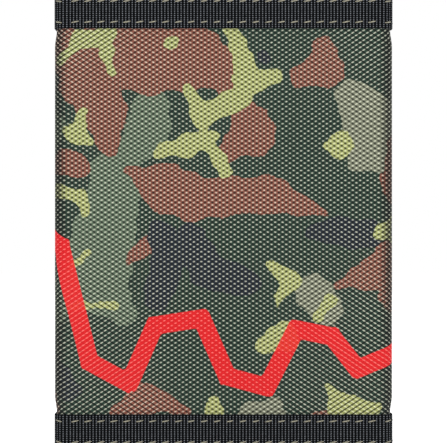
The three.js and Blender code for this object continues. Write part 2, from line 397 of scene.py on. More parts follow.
def opaque(shade, level=1.0):
    """A colour with its alpha, brightened or dimmed by a level."""
    return (*(channel * level for channel in shade), 1.0)


def weave(finish, across, up):
    """Plain weave: 1 on the crown of an upright thread, -1 on a level one, 0 in the gaps between them."""
    along, height = finish.flat_place()
    return (along * (math.pi * MM / across)).cosine() * (height * (math.pi * MM / up)).cosine()


def weave_slant(finish, across, up):
    """Added to a weave, this leans its crowns, as threads lie that were twisted when they were spun."""
    along, height = finish.flat_place()
    return (along * (math.pi * MM / across)).sine() * (height * (math.pi * MM / up)).sine()


# BLACK darkens the gaps between threads and carries the painted shade. The two tints after it colour the painted glint
# on the threads and on the ribbon.
BLACK = (0.004, 0.005, 0.005, 1.0)
THREAD_GLINT_TINT = (0.95, 0.95, 0.76, 1.0)
RIBBON_GLINT = (1.0, 0.22, 0.2, 1.0)
# The painted glint and painted shade on the threads lean away from this height in millimetres on the middle line.
LEAN_MIDDLE, LEAN_RATE = 75.0, 1 / 1400
# Where painted shade darkens the print round the folds, in millimetres of the flat cloth, and how fast it starts.
FOLD_SHADE_START, FOLD_SHADE_END, FOLD_SHADE_RATE = 43.0, 52.0, 0.4
# How strongly the painted fold shade, the painted thread glint and the painted ribbon glint show, from 0 to 1.
FOLD_SHADE, THREAD_GLINT, RIBBON_SHINE = 0.8, 0.46, 0.65
# Noise, in bumps to a metre: single fibres, threads, and places where a hand wears the cloth, which are rougher and
# carry a stronger painted glint.
FIBRE_NOISE, THREAD_NOISE, WEAR_AND_GLINT_NOISE = 900.0, 700.0, 90.0
# Depth of the bumps between threads, in metres.
COARSE_BUMP, TAPE_BUMP, TWIST_BUMP, FINE_BUMP = 0.00022, 0.00012, 0.00005, 0.00008


def printed_cloth():
    """Coarse nylon, printed in six colours and a red ribbon, with painted glints and painted shade on its threads."""
    size, shade = sizes(), colours()
    finish = Finish("printed_cloth", Specular_IOR_Level=0.15)
    threads = weave(finish, size.weave_across, size.weave_up)
    wander = (finish.noise(FIBRE_NOISE) - 0.5) * 1.1
    ground = opaque(shade.dark_green)
    for name in CAMOUFLAGE_ORDER:
        inside = ((wander - finish.number(name)) * (MM / size.print_edge) + 0.5).clamped()
        ground = finish.mix(inside, ground, opaque(getattr(shade, name)))
    along, height = finish.flat_place()
    lean = (along * (height - LEAN_MIDDLE) * LEAN_RATE).within(1.0)
    slant = weave_slant(finish, size.weave_across, size.weave_up) * lean
    uneven = finish.noise(THREAD_NOISE, 3.0)
    wear_and_glint = finish.noise(WEAR_AND_GLINT_NOISE, 4.0)
    crown = ((threads + slant * 0.6) * 2.1 - 0.8).clamped()
    # Painted shade on the level threads. The gaps between threads are darkened both as the dark cloth under the print
    # and as painted shade.
    level_thread_shade = ((slant * 0.4 - threads) * 2.4 - 0.4).clamped()
    gap = (1.1 - threads.size() * 2.6 - uneven * 0.3).clamped()
    # Painted shade round the fold arcs: the print is mixed towards black there, and its threads are darkened a little
    # more.
    fold_shade_mask = ((along.size() - FOLD_SHADE_START) * FOLD_SHADE_RATE).clamped()
    fold_shade_mask = fold_shade_mask * ((FOLD_SHADE_END - along.size()) * FOLD_SHADE_RATE).clamped()
    shaded = finish.mix(fold_shade_mask * FOLD_SHADE, ground, BLACK)
    # Painted glint: the crowns of the upright threads are mixed towards a pale tint of their print, more where the
    # thread and wear noises are high.
    glint = finish.mix(THREAD_GLINT, ground, THREAD_GLINT_TINT)
    lit = finish.mix((crown * (uneven * 1.2 + wear_and_glint * 0.7)).clamped(), shaded, glint)
    dark = (gap * 0.45 + level_thread_shade * 0.9 + fold_shade_mask * 0.2).clamped()
    woven = finish.mix(dark, lit, BLACK)
    # The ribbon's print, with a painted glint on the crowns of its threads.
    ink_and_glint = finish.mix(crown * RIBBON_SHINE, opaque(shade.ribbon), RIBBON_GLINT)
    on_ribbon = (finish.number("ribbon_edge") * (-MM / size.print_edge) + 0.5).clamped()
    finish.colour(finish.mix(on_ribbon * (1.0 - gap * 0.15 - level_thread_shade * 0.1), woven, ink_and_glint))
    finish.roughness(0.6 - crown * 0.18 + wear_and_glint * 0.12)
    finish.bump(threads.size() * 0.7 + crown * 0.3, COARSE_BUMP, 0.8)
    return finish.material


# The tape's crossing threads and the sewing thread's twist, in millimetres, and the fuzz on both.
WEFT_PITCH, TWIST_PITCH, FUZZ_NOISE = 0.6, 0.7, 1500.0


def binding_tape():
    """Dark ribbed tape with black grooves, and a painted highlight on the crowns of its ribs that the crossing weft
    breaks into fine marks.
    """
    size, shade = sizes(), colours()
    finish = Finish("binding_tape", Specular_IOR_Level=0.05)
    along, across = finish.flat_place()
    rib = (along * (FULL_TURN * MM / size.rib_pitch)).cosine()
    weft = (across * (FULL_TURN / WEFT_PITCH) + rib * 0.9).cosine()
    fuzz = finish.noise(FUZZ_NOISE)
    # Painted highlight: the crowns of the ribs and of the crossing weft are mixed towards a pale grey.
    crown = ((rib * 0.75 + weft * 0.4 - 0.42) * (fuzz * 2.5)).clamped()
    finish.colour(finish.mix(crown, opaque(shade.tape), opaque(shade.tape_rib)))
    finish.roughness(0.8 - crown * 0.2)
    finish.bump(rib * 0.3 + weft * 0.3 + fuzz * 0.2, TAPE_BUMP, 0.8)
    return finish.material


def sewing_thread():
    """Two-ply thread, twisted, with painted shade along the twist, and unevenly soiled."""
    finish = Finish("sewing_thread", Sheen_Weight=0.2)
    along, across = finish.flat_place()
    twist = (along * (FULL_TURN / TWIST_PITCH) + across * 6.0).cosine()
    soil = finish.noise(350.0)
    # Painted shade: the thread is dimmed where its plies turn away along the twist.
    pale, ply_shade = opaque(colours().thread), opaque(colours().thread, 0.45)
    tone = finish.mix((twist * 0.35 + 0.35).clamped(), pale, ply_shade)
    finish.colour(finish.mix(soil * 0.4, tone, (0.2, 0.18, 0.13, 1.0)))
    finish.roughness(0.6 + soil * 0.2)
    finish.bump(twist, TWIST_BUMP, 0.6)
    return finish.material


def thin_cloth(name, shade, gloss):
    """Finely woven dark cloth with a painted highlight on its thread crowns, painted shade between them, and rubbed,
    slightly paler places.
    """
    finish = Finish(name, Specular_IOR_Level=gloss, Sheen_Weight=0.08)
    threads = weave(finish, sizes().fine_weave, sizes().fine_weave)
    rubbed = finish.noise(70.0, 5.0)
    # Lighter on the thread crowns as a painted highlight, darker between them as painted shade, and paler on rubbed
    # places as wear.
    raised = (threads * 0.45 + rubbed * 0.5).clamped()
    finish.colour(finish.mix(raised, opaque(shade, 0.55), opaque(shade, 1.9)))
    finish.roughness(0.8 - rubbed * 0.25)
    finish.bump(threads.size() + rubbed * 0.4, FINE_BUMP, 0.6)
    return finish.material


def moulded_plastic(name, shade, roughness, grain):
    """Dull nylon with a fine grain, in bumps to a metre, and scuffed places."""
    finish = Finish(name, Specular_IOR_Level=0.5)
    fine = finish.noise(grain, 4.0)
    scuffs = finish.noise(240.0, 6.0, 0.7)
    finish.colour(finish.mix(scuffs, opaque(shade, 0.7), opaque(shade, 1.8)))
    finish.roughness(roughness + fine * 0.2)
    finish.bump(fine, 0.00004, 0.5)
    return finish.material


def clear_vinyl():
    """Clear window sheet with faint ripples and a few hazy rubs."""
    finish = Finish("clear_vinyl", IOR=1.45, Alpha=0.24)
    haze = finish.noise(55.0, 2.0)
    ripple = finish.noise(35.0, 1.0)
    finish.colour(finish.mix(haze, opaque(colours().vinyl, 0.26), opaque(colours().vinyl, 0.14)))
    finish.roughness(0.05 + haze * 0.15)
    finish.bump(ripple, 0.0002, 0.15)
    return finish.material


def nickel():
    """Satin nickel, drawn lengthwise, with darker rubbing."""
    finish = Finish("zip_metal", Metallic=1.0)
    place = finish.node("ShaderNodeTexCoord").outputs["Object"]
    drawn = finish.node("ShaderNodeMapping", None, {"Vector": place, "Scale": (0.06, 1.0, 1.0)})
    values = {"Vector": drawn.outputs[0], "Scale": 9000.0, "Detail": 3.0}
    lines = Value(finish, finish.node("ShaderNodeTexNoise", None, values).outputs["Fac"])
    tarnish = finish.noise(420.0, 5.0)
    finish.colour(finish.mix(tarnish * 0.5, opaque(colours().nickel), opaque(colours().nickel, 0.5)))
    finish.roughness(0.22 + lines * 0.2 + tarnish * 0.1)
    finish.bump(lines, 0.00002, 0.4)
    return finish.material


def floor_paint():
    """Pale, even paint that glows a little, so that no edge shows between floor and background."""
    finish = Finish("floor_paint", Emission_Strength=0.75)
    speckle = finish.noise(40.0)
    pale = finish.mix(speckle * 0.1, opaque(colours().floor), opaque(colours().floor, 0.93))
    finish.colour(pale)
    finish.shader.inputs["Emission Color"].default_value = opaque(colours().floor)
    finish.roughness(0.75 + speckle * 0.1)
    return finish.material


FINISHES = {
    "printed_cloth": printed_cloth,
    "binding_tape": binding_tape,
    "sewing_thread": sewing_thread,
    "lining_cloth": lambda: thin_cloth("lining_cloth", colours().lining, 0.5),
    "pocket_cloth": lambda: thin_cloth("pocket_cloth", colours().pocket, 0.25),
    "zip_tape": lambda: thin_cloth("zip_tape", colours().lining, 0.2),
    "hook_tape": lambda: moulded_plastic("hook_tape", colours().black_plastic, 0.45, 3000.0),
    "loop_tape": lambda: moulded_plastic("loop_tape", colours().black_plastic, 0.8, 5000.0),
    "zip_coil": lambda: moulded_plastic("zip_coil", colours().black_plastic, 0.3, 2500.0),
    "clear_vinyl": clear_vinyl,
    "zip_metal": nickel,
    "floor_paint": floor_paint,
}
# Kept here, because the frame has plain materials of the same names.
MADE_FINISHES = {}


def finish_named(name):
    """The material of that name, made the first time it is asked for."""
    if name not in MADE_FINISHES:
        MADE_FINISHES[name] = FINISHES[name]()
    return MADE_FINISHES[name]


# ---------------------------------------------------------------- the printed pattern

# Patches of camouflage on the flat cloth: discs as (across, up, radius) in millimetres from the middle of
# the bottom edge, joined in a chain. Later colours are printed over earlier ones.
CAMOUFLAGE_ORDER = ("olive", "sage", "rust", "navy", "lime")
PATCHES = {
    "olive": [
        [(36, 97, 5), (41, 90, 8), (45, 84, 7), (38, 80, 4)],
        [(25, 43, 5), (29, 38, 4)],
        [(8, 8, 5), (13, 10, 4)],
    ],
    "sage": [
        [(-20, 95, 5), (-21, 88, 6), (-25, 82, 4)],
        [(-33, 78, 4), (-30, 70, 7), (-33, 58, 9), (-35, 47, 9), (-28, 38, 4)],
        [(-44, 44, 5), (-49, 36, 4)],
    ],
    "rust": [
        [(-46, 113, 5), (-39, 103, 8), (-33, 93, 6), (-32, 84, 3)],
        [(-33, 110, 8), (-22, 107, 9), (-8, 108, 9), (1, 104, 5), (2, 98, 3)],
        [(28, 111, 3), (28, 105, 5), (21, 103, 3)],
        [(7, 91, 5), (8, 87, 6), (1, 82, 3)],
        [(-26, 77, 1), (-16, 72, 7), (-8, 69, 6), (4, 70, 5), (14, 70, 5), (28, 65, 1)],
        [(-44, 79, 4), (-40, 78, 3)],
        [(-26, 52, 1), (-21, 56, 3)],
        [(32, 45, 1), (40, 48, 4), (47, 52, 6), (47, 42, 4)],
        [(-28, 10, 3), (-21, 14, 4), (-10, 10, 1)],
        [(26, 8, 3), (30, 9, 1)],
    ],
    "navy": [
        [(-17, 59, 4), (-15, 53, 5), (-18, 42, 4)],
        [(-9, 57, 5), (-4, 49, 5), (6, 46, 4)],
        [(26, 60, 3), (34, 60, 4), (40, 59, 4)],
        [(11, 108, 2)],
        [(-48, 24, 3), (-42, 16, 3)],
    ],
    "lime": [
        [(-45, 107, 1), (-40, 113, 2), (-33, 114, 3), (-31, 104, 1)],
        [(-14, 112, 2)],
        [(2, 117, 2), (6, 106, 3), (6, 101, 3), (15, 103, 2)],
        [(5, 97, 3), (-6, 92, 3), (-10, 100, 1)],
        [(-3, 86, 2), (-10, 84, 3), (-17, 82, 2)],
        [(-4, 84, 2), (0, 77, 2)],
        [(-39, 93, 1), (-41, 87, 3), (-37, 85, 1)],
        [(-46, 71, 2), (-40, 70, 2), (-38, 65, 1)],
        [(-38, 54, 1), (-42, 50, 1)],
        [(-42, 39, 1), (-34, 40, 1), (-30, 39, 1)],
        [(-2, 14, 1), (-3, 10, 3)],
        [(13, 51, 1), (18, 47, 3), (15, 40, 1)],
        [(12, 29, 3), (17, 31, 4)],
        [(29, 41, 2), (26, 36, 1)],
        [(29, 17, 1), (32, 12, 3), (42, 11, 2)],
        [(47, 64, 1), (44, 60, 2), (48, 57, 1)],
        [(28, 84, 1), (32, 84, 4)],
    ],
}


def tapered_distance(across, up, first, second):
    """Distance in millimetres from a disc that slides and grows from one place to another."""
    step_across, step_up = second[0] - first[0], second[1] - first[1]
    squared = step_across ** 2 + step_up ** 2
    if squared == 0:
        return np.hypot(across - first[0], up - first[1]) - first[2]
    share = ((across - first[0]) * step_across + (up - first[1]) * step_up) / squared
    share = np.clip(share, 0, 1)
    reach = np.hypot(across - first[0] - share * step_across, up - first[1] - share * step_up)
    return reach - first[2] - share * (second[2] - first[2])


def smooth_least(first, second, rounding):
    """The lesser of two distances, with the corner between them filled."""
    near = np.clip(0.5 + 0.5 * (second - first) / rounding, 0, 1)
    return second + near * (first - second) - rounding * near * (1 - near)


# A distance in millimetres that is well outside every patch, to start each search from.
FAR_AWAY = 60.0
# A slow ripple that keeps the patches' edges from being round: its height in millimetres.
EDGE_RIPPLE = 0.7


def patch_distance(across, up, chains):
    """Distance in millimetres from the nearest patch of one colour: below 0 on it."""
    rounding = sizes().print_blend / MM
    ripple = EDGE_RIPPLE * np.sin(0.62 * across + 1.9 * np.sin(0.37 * up)) * np.sin(0.71 * up + 0.8)
    nearest = np.full(len(across), FAR_AWAY)
    for chain in chains:
        for first, second in zip(chain, chain[1:] or chain):
            nearest = smooth_least(nearest, tapered_distance(across, up, first, second), rounding)
    return nearest + ripple


# A plain red ribbon in straight strokes: its corners as (across, up) in millimetres of the flat cloth. It
# comes down from the left fold, steps up and down across the lower third and runs off the right fold.
RIBBON_CORNERS = (
    (-56, 63), (-45, 56), (-37, 24), (-26, 18), (-19, 34), (-6, 36), (1, 20), (12, 17), (20, 33), (30, 31),
    (37, 22), (56, 30),
)
# How far a stroke runs on past its corner, as a share of its half width, so that the corners are filled.
STROKE_OVERRUN = 0.6


def stroke_distance(across, up, first, second, half):
    """Distance in millimetres from one straight stroke with square ends."""
    long = math.dist(first, second)
    way = ((second[0] - first[0]) / long, (second[1] - first[1]) / long)
    beyond = (across - first[0]) * way[0] + (up - first[1]) * way[1] - long / 2
    beside = (across - first[0]) * way[1] - (up - first[1]) * way[0]
    return np.maximum(np.abs(beside) - half, np.abs(beyond) - long / 2 - half * STROKE_OVERRUN)


def ribbon_distance(across, up):
    """Distance in millimetres from the printed ribbon: below 0 on it."""
    half = sizes().ribbon_width / MM / 2
    nearest = np.full(len(across), FAR_AWAY)
    for first, second in zip(RIBBON_CORNERS, RIBBON_CORNERS[1:]):
        nearest = np.minimum(nearest, stroke_distance(across, up, first, second, half))
    return nearest


def print_pattern(piece):
    """Writes each colour's distance on the cloth's points. The flaps carry the print turned half round."""
    flat = np.empty(len(piece.data.vertices) * 3, np.float32)
    piece.data.attributes["cloth"].data.foreach_get("vector", flat)
    across, up = flat[0::3], flat[1::3]
    repeat = PANEL_REPEAT / MM
    whole = CAD_BOX[1].z / MM
    fields = {"ribbon_edge": ribbon_distance(across, up)}
    for name in CAMOUFLAGE_ORDER:
        copies = [patch_distance(across, up, PATCHES[name])]
        for shift in (-repeat, repeat):
            copies.append(patch_distance(shift - across, whole - up, PATCHES[name]))
        fields[name] = np.minimum.reduce(copies)
    for name, distance in fields.items():
        made = piece.data.attributes.new(name, "FLOAT", "POINT")
        made.data.foreach_set("value", distance.astype(np.float32))


# ---------------------------------------------------------------- stretches of the wrapped strip

class Stretch:
    """Part of the strip, with a run along it and a depth inwards from the tape's outer face."""

    def __init__(self, flat_start, flat_way):
        self.flat_start, self.flat_way = flat_start, flat_way

    def flat(self, run):
        """The same run on the flat cloth, from the middle of the front."""
        return self.flat_start + self.flat_way * run


class Flat(Stretch):
    """A straight stretch that runs from its corner."""

    def __init__(self, body, corner, along, out, flat_start, flat_way):
        super().__init__(flat_start, flat_way)
        self.body = body
        self.corner, self.along, self.out = Vector(corner), Vector(along), Vector(out)

    def at(self, run, depth, height):
        """The point in the scene at that run, depth and height."""
        spot = self.corner + self.along * run - self.out * depth
        return (spot.x, spot.y, height)

    def runs(self, node):
        """Where a CAD node starts and ends along the stretch."""
        ends = [(Vector(corner[:2]) - self.corner) @ self.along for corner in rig.box(node)]
        return min(ends), max(ends)

    def depths(self, node):
        """Where a CAD node starts and ends in depth."""
        ends = [(self.corner - Vector(corner[:2])) @ self.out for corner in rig.box(node)]
        return min(ends), max(ends)


class Fold(Stretch):
    """A quarter turn between two flat stretches, with its run measured on the printed face."""

    def __init__(self, bodies, middle, radius, turn, flat_start, flat_way):
        super().__init__(flat_start, flat_way)
        self.bodies, self.middle, self.radius = bodies, Vector(middle), radius
        self.first_out, self.last_out = Vector(turn[0]), Vector(turn[1])
        self.length = QUARTER_TURN * (radius - SHELL_DEPTH)

    def at(self, run, depth, height):
        angle = QUARTER_TURN * run / self.length
        out = self.first_out * math.cos(angle) + self.last_out * math.sin(angle)
        spot = self.middle + out * (self.radius - depth)
        return (spot.x, spot.y, height)

    def blend(self, piece, depth):
        """Bends the piece between the fold's two bodies, from one end of its arc to the other."""
        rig.blend(piece, *self.bodies, start=self.at(0, depth, 0), end=self.at(self.length, depth, 0))


class Upright:
    """The free side edge of a flap: its run goes up, and its third measure from the edge into the flap."""

    def __init__(self, flap, node, edge, way):
        self.body, self.flap, self.edge, self.way = flap.body, flap, edge, way
        self.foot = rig.box(node)[0].z

    def at(self, run, depth, inwards):
        level = self.flap.corner.y - self.flap.out.y * depth
        return (self.edge + self.way * inwards, level, self.foot + run)

    def flat(self, run):
        return self.foot + run


PLAIN = ("centre", "wide_spine", "outer_flap", "narrow_spine", "tucked_flap")


def face(node, axis, end):
    """Where a CAD node's lowest or highest face lies on an axis."""
    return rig.box(node)[end][axis]


X, Y, Z = 0, 1, 2
LOW, HIGH = 0, 1
SHELL_DEPTH = face("centre_shell", Y, LOW) - face("centre_top_binding", Y, LOW)
PANEL_HALF = face("centre_shell", X, HIGH)
FRONT = face("centre_top_binding", Y, LOW)
LEFT_EDGE = face("wide_spine_top_binding", X, LOW)
RIGHT_EDGE = face("narrow_spine_top_binding", X, HIGH)
FOLD_RADIUS = -LEFT_EDGE - PANEL_HALF
FOLD_LENGTH = QUARTER_TURN * (FOLD_RADIUS - SHELL_DEPTH)


WIDE_START, WIDE_END = (face("wide_spine_shell", Y, end) for end in (LOW, HIGH))
NARROW_START, NARROW_END = (face("narrow_spine_shell", Y, end) for end in (LOW, HIGH))
WIDE_LENGTH = WIDE_END - WIDE_START
NARROW_LENGTH = NARROW_END - NARROW_START
SPINE_START = PANEL_HALF + FOLD_LENGTH
PANEL_REPEAT = 2 * SPINE_START

FRONTWARD, BACKWARD, LEFTWARD, RIGHTWARD = (0, -1), (0, 1), (-1, 0), (1, 0)
STRETCHES = {
    "centre": Flat("centre_panel", (-PANEL_HALF, FRONT), RIGHTWARD, FRONTWARD, -PANEL_HALF, 1),
    "wide_spine": Flat("wide_spine", (LEFT_EDGE, WIDE_START), BACKWARD, LEFTWARD, -SPINE_START, -1),
    "outer_flap": Flat(
        "outer_flap",
        (-PANEL_HALF, WIDE_END + FOLD_RADIUS),
        RIGHTWARD,
        BACKWARD,
        -SPINE_START - WIDE_LENGTH - FOLD_LENGTH,
        -1,
    ),
    "narrow_spine": Flat("narrow_spine", (RIGHT_EDGE, NARROW_START), BACKWARD, RIGHTWARD, SPINE_START, 1),
    "tucked_flap": Flat(
        "tucked_flap",
        (PANEL_HALF, NARROW_END + FOLD_RADIUS),
        LEFTWARD,
        BACKWARD,
        SPINE_START + NARROW_LENGTH + FOLD_LENGTH,
        1,
    ),
}


def corner_fold(bodies, side, level, turn, flat_start):
    """The fold at the left (-1) or right (1) end of a panel, round a middle at that level."""
    return Fold(bodies, (side * PANEL_HALF, level), FOLD_RADIUS, turn, flat_start, side)


FOLDS = {
    "wide_front_fold": corner_fold(
        ("centre_panel", "wide_spine"), -1, WIDE_START, (FRONTWARD, LEFTWARD), -PANEL_HALF
    ),
    "wide_back_fold": corner_fold(
        ("wide_spine", "outer_flap"), -1, WIDE_END, (LEFTWARD, BACKWARD), -SPINE_START - WIDE_LENGTH
    ),
    "narrow_front_fold": corner_fold(
        ("centre_panel", "narrow_spine"), 1, NARROW_START, (FRONTWARD, RIGHTWARD), PANEL_HALF
    ),
    "narrow_back_fold": corner_fold(
        ("narrow_spine", "tucked_flap"), 1, NARROW_END, (RIGHTWARD, BACKWARD), SPINE_START + NARROW_LENGTH
    ),
}


def spine_beside(fold_name):
    """The spine whose CAD nodes give a fold its heights and depths."""
    return "wide_spine" if fold_name.startswith("wide") else "narrow_spine"


# ---------------------------------------------------------------- mesh making

def steps(start, end, step):
    """Evenly spaced places from start to end, no further apart than step."""
    count = max(1, math.ceil((end - start) / step - 1e-6))
    return [start + (end - start) * n / count for n in range(count + 1)]


def make_piece(name, points, faces, flats, slot, finish=None):
    """A mesh object from its points and faces, facing outwards, with its place on the flat cloth.
    Its finish goes by the name of its slot, unless another is given."""
    mesh = bpy.data.meshes.new(name)
    mesh.from_pydata(points, [], faces)
    made = mesh.attributes.new("cloth", "FLOAT_VECTOR", "POINT")
    made.data.foreach_set("vector", np.array(flats, np.float32).ravel())
    shape = bmesh.new()
    shape.from_mesh(mesh)
    bmesh.ops.recalc_face_normals(shape, faces=shape.faces)
    shape.to_mesh(mesh)
    shape.free()
    mesh.shade_smooth()
    mesh.set_sharp_from_angle(angle=SMOOTH_ANGLE)
    mesh.materials.append(finish_named(finish or slot))
    piece = bpy.data.objects.new(name, mesh)
    bpy.context.collection.objects.link(piece)
    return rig.slot(piece, slot)


def fasten(piece, body, node=None):
    """Makes a piece ride on a body, and stand for a CAD node where one is given."""
    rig.ride(piece, body)
    if node:
        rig.replaces(piece, node)


def tube_faces(first, rings, sides):
    """Faces of a closed tube whose rings of points follow each other from the first point."""
    faces = []
    last = first + (rings - 1) * sides
    for ring in range(first, last, sides):
        for side in range(sides):
            beside = (side + 1) % sides
            faces.append((ring + side, ring + beside, ring + sides + beside, ring + sides + side))
    return faces + [tuple(range(first, first + sides)), tuple(range(last, last + sides))]


def sweep(name, stretch, section, runs, slot, shape=None):
    """Carries a section along a stretch. The section is a list of (outer, inner, across) with outer and
    inner as (depth, height). shape may move a point, given its run, depth, height, whether it is outer, and
    the inner point across from it."""
    count = len(section)
    points, flats, faces = [], [], []
    for run in runs:
        for outside in (True, False):
            for outer, inner, across in section:
                depth, height = outer if outside else inner
                if shape:
                    depth, height = shape(run, depth, height, outside, inner)
                points.append(stretch.at(run, depth, height))
                flats.append((stretch.flat(run) / MM, across / MM, float(outside)))
    ring = 2 * count
    for station in range(len(runs) - 1):
        here, there = station * ring, (station + 1) * ring
        for row in (0, count):
            for n in range(row, row + count - 1):
                faces.append((here + n, there + n, there + n + 1, here + n + 1))
        for n in (0, count - 1):
            faces.append((here + n, there + n, there + count + n, here + count + n))
    for start in (0, (len(runs) - 1) * ring):
        for n in range(start, start + count - 1):
            faces.append((n, n + 1, n + count + 1, n + count))
    return make_piece(name, points, faces, flats, slot)


# How a ply thins over its last two steps to an edge, as shares of its thickness.
CLOTH_EDGE = [0.5, 0.88]


def cloth_section(depths, heights, step):
    """A flat ply: its two faces, with their edges rounded off."""
    front, back = depths
    middle, half = (front + back) / 2, (back - front) / 2
    round_off = half * 0.6
    low, high = heights
    between = steps(low + 2 * round_off, high - 2 * round_off, step)
    levels = [low, low + round_off, *between, high - round_off, high]
    thickness = [*CLOTH_EDGE, *[1.0] * len(between), *reversed(CLOTH_EDGE)]
    return [
        ((middle - half * share, level), (middle + half * share, level), level)
        for level, share in zip(levels, thickness)
    ]


# How a tape thickens from its cut edge, as (distance from the edge, share of its thickness).
TAPE_EDGE = [(0.0, 0.45), (0.1 * MM, 0.85), (0.3 * MM, 1.0)]
TAPE_BEND = 0.5 * MM
BEND_STEPS = 4


def tape_section(depths, web, opening, thickness):
    """A tape folded over an edge: down one leg, round the web and up the other leg."""
    near, far = depths
    half = thickness / 2
    way = math.copysign(1.0, opening - web)
    bend = min(TAPE_BEND, (far - near) / 2 - half)
    floor = web + way * (half + bend)
    leg = [(opening - way * back, share) for back, share in TAPE_EDGE]
    leg += [(opening + (floor - opening) * share, 1.0) for share in (0.25, 0.5, 0.75)]
    path = [((near + half, level), (-1, 0), share) for level, share in leg]
    corners = ((near + half + bend, -1), (far - half - bend, 1))
    for place, side in corners:
        for n in range(BEND_STEPS + 1):
            angle = QUARTER_TURN * (n if side < 0 else BEND_STEPS - n) / BEND_STEPS
            out = (side * math.cos(angle), -way * math.sin(angle))
            path.append(((place + out[0] * bend, floor + out[1] * bend), out, 1.0))
    path += [((far - half, level), (1, 0), share) for level, share in reversed(leg)]
    section, travelled, last = [], 0.0, path[0][0]
    for spot, out, share in path:
        travelled += math.dist(spot, last)
        last = spot
        outer = (spot[0] + out[0] * half * share, spot[1] + out[1] * half * share)
        inner = (spot[0] - out[0] * half * share, spot[1] - out[1] * half * share)
        section.append((outer, inner, travelled))
    return section


def ribbed(stretch, thickness):
    """Grooves between the ribs, cut from the tape's outer face towards its inner face."""
    pitch, groove = sizes().rib_pitch, sizes().rib_depth

    def shape(run, depth, height, outside, inner):
        if not outside:
            return depth, height
        share = groove / thickness * (1 - math.cos(FULL_TURN * stretch.flat(run) / pitch)) / 2
        return depth + (inner[0] - depth) * share, height + (inner[1] - height) * share

    return shape


# How far the shell's foot lies above the underside of the tape.
SHELL_FOOT = face("centre_shell", Z, LOW) - face("centre_bottom_binding", Z, LOW)
THICKEST_TAPE = 0.6 * MM
TAPE_THICKNESS = min(SHELL_DEPTH - SHELL_FOOT + THICKEST_TAPE, THICKEST_TAPE)


def smooth_step(share):
    """A share of a way, from 0 to 1, that starts and ends gently."""
    share = min(max(share, 0.0), 1.0)
    return share * share * (3 - 2 * share)


# ---------------------------------------------------------------- sewing

class Seam:
    """A row of stitches along a stretch, at a height and a depth. out is 1 on the face that looks out of
    the wallet, and -1 on the other."""

    def __init__(self, stretch, runs, height, depth, out):
        self.stretch, self.height, self.depth, self.out = stretch, height, depth, out
        self.start, self.end = runs

    def at(self, run, aside, lift):
        """A point beside the seam's line and lifted from its face."""
        return self.stretch.at(run, self.depth - self.out * lift, self.height + aside)


# Pockets are sewn with stitches this much finer than the tape's.
FINE_STITCH = 0.7
STITCH_SIDES = 6
STITCH_STATIONS = (-1.0, -0.7, 0.0, 0.7, 1.0)
# A stitch thins to its ends, stands up in the middle and dips into the cloth, as shares of its radius.
STITCH_THINNING, STITCH_RISE, STITCH_DIP = 0.86, 0.55, 0.35


def sew(name, seams, scale=1.0):
    """Thread that shows as one slanted stitch after another along each seam."""
    size = sizes()
    pitch, half = size.stitch_pitch * scale, size.stitch_length * scale / 2
    radius, slant = size.thread_radius * math.sqrt(scale), size.stitch_slant * scale
    points, flats, faces = [], [], []
    for seam in seams:
        room = seam.end - seam.start
        count = max(1, int(room // pitch))
        for number in range(count):
            middle = seam.start + room * (number + 0.5) / count
            first = len(points)
            for share in STITCH_STATIONS:
                thin = math.sqrt(1 - STITCH_THINNING * share * share)
                lift = radius * STITCH_RISE * (1 - share ** 4) - radius * STITCH_DIP
                for side in range(STITCH_SIDES):
                    angle = FULL_TURN * side / STITCH_SIDES
                    aside = slant * share + radius * thin * math.cos(angle)
                    raised = lift + radius * thin * math.sin(angle)
                    points.append(seam.at(middle + share * half, aside, raised))
                    flats.append((share * half / MM, angle, 0.0))
            faces += tube_faces(first, len(STITCH_STATIONS), STITCH_SIDES)
    return make_piece(name, points, faces, flats, "binding_tape", "sewing_thread")


# ---------------------------------------------------------------- printed cloth and linings

FOLD_STEP = 0.45 * MM
BULGE_START = 5 * MM


def bulge(stretch, foot, top):
    """Stands the printed cloth out between its tapes, on the front and both spines, and lets it
    flatten over the back folds, so that the flaps lie flat."""
    tape = face("centre_bottom_binding", Z, HIGH) - foot
    ends = {-1: SPINE_START + WIDE_LENGTH, 1: SPINE_START + NARROW_LENGTH}

    def shape(run, depth, height, outside, inner):
        along = stretch.flat(run)
        past = abs(along) - ends[-1 if along < 0 else 1]
        rise = smooth_step((min(height - foot, top - height) - tape) / BULGE_START)
        return depth - sizes().cloth_bulge * rise * (1 - smooth_step(past / FOLD_LENGTH)), height

    return shape


def flat_ply(node, stem, slot, step, shape=None, heights=None, suffix="sheet"):
    """A ply that lies on one panel, in the place of its CAD node, at its heights or at those given."""
    stretch = STRETCHES[stem]
    low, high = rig.box(node)
    section = cloth_section(stretch.depths(node), heights or (low.z, high.z), step)
    piece = sweep(f"{node}_{suffix}", stretch, section, steps(*stretch.runs(node), step), slot, shape)
    fasten(piece, stretch.body, node)
    return piece


def declare_sheet(piece, node, rests_on):
    """Declares a sheet that its seams hold stretched, cut to the size of its CAD node."""
    low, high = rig.box(node)
    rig.sheet(piece, flat=(high.x - low.x, high.z - low.z), held="stretched", rests_on=[rests_on])


def fold_cloth(fold_name, kind, slot, step):
    """The part of the shell or the lining that bends round one fold."""
    fold, beside = FOLDS[fold_name], spine_beside(fold_name)
    node = f"{beside}_{kind}"
    low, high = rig.box(node)
    section = cloth_section(STRETCHES[beside].depths(node), (low.z, high.z), step)
    shape = bulge(fold, low.z, high.z) if kind == "shell" else None
    return sweep(f"{fold_name}_{kind}", fold, section, steps(0, fold.length, FOLD_STEP), slot, shape)


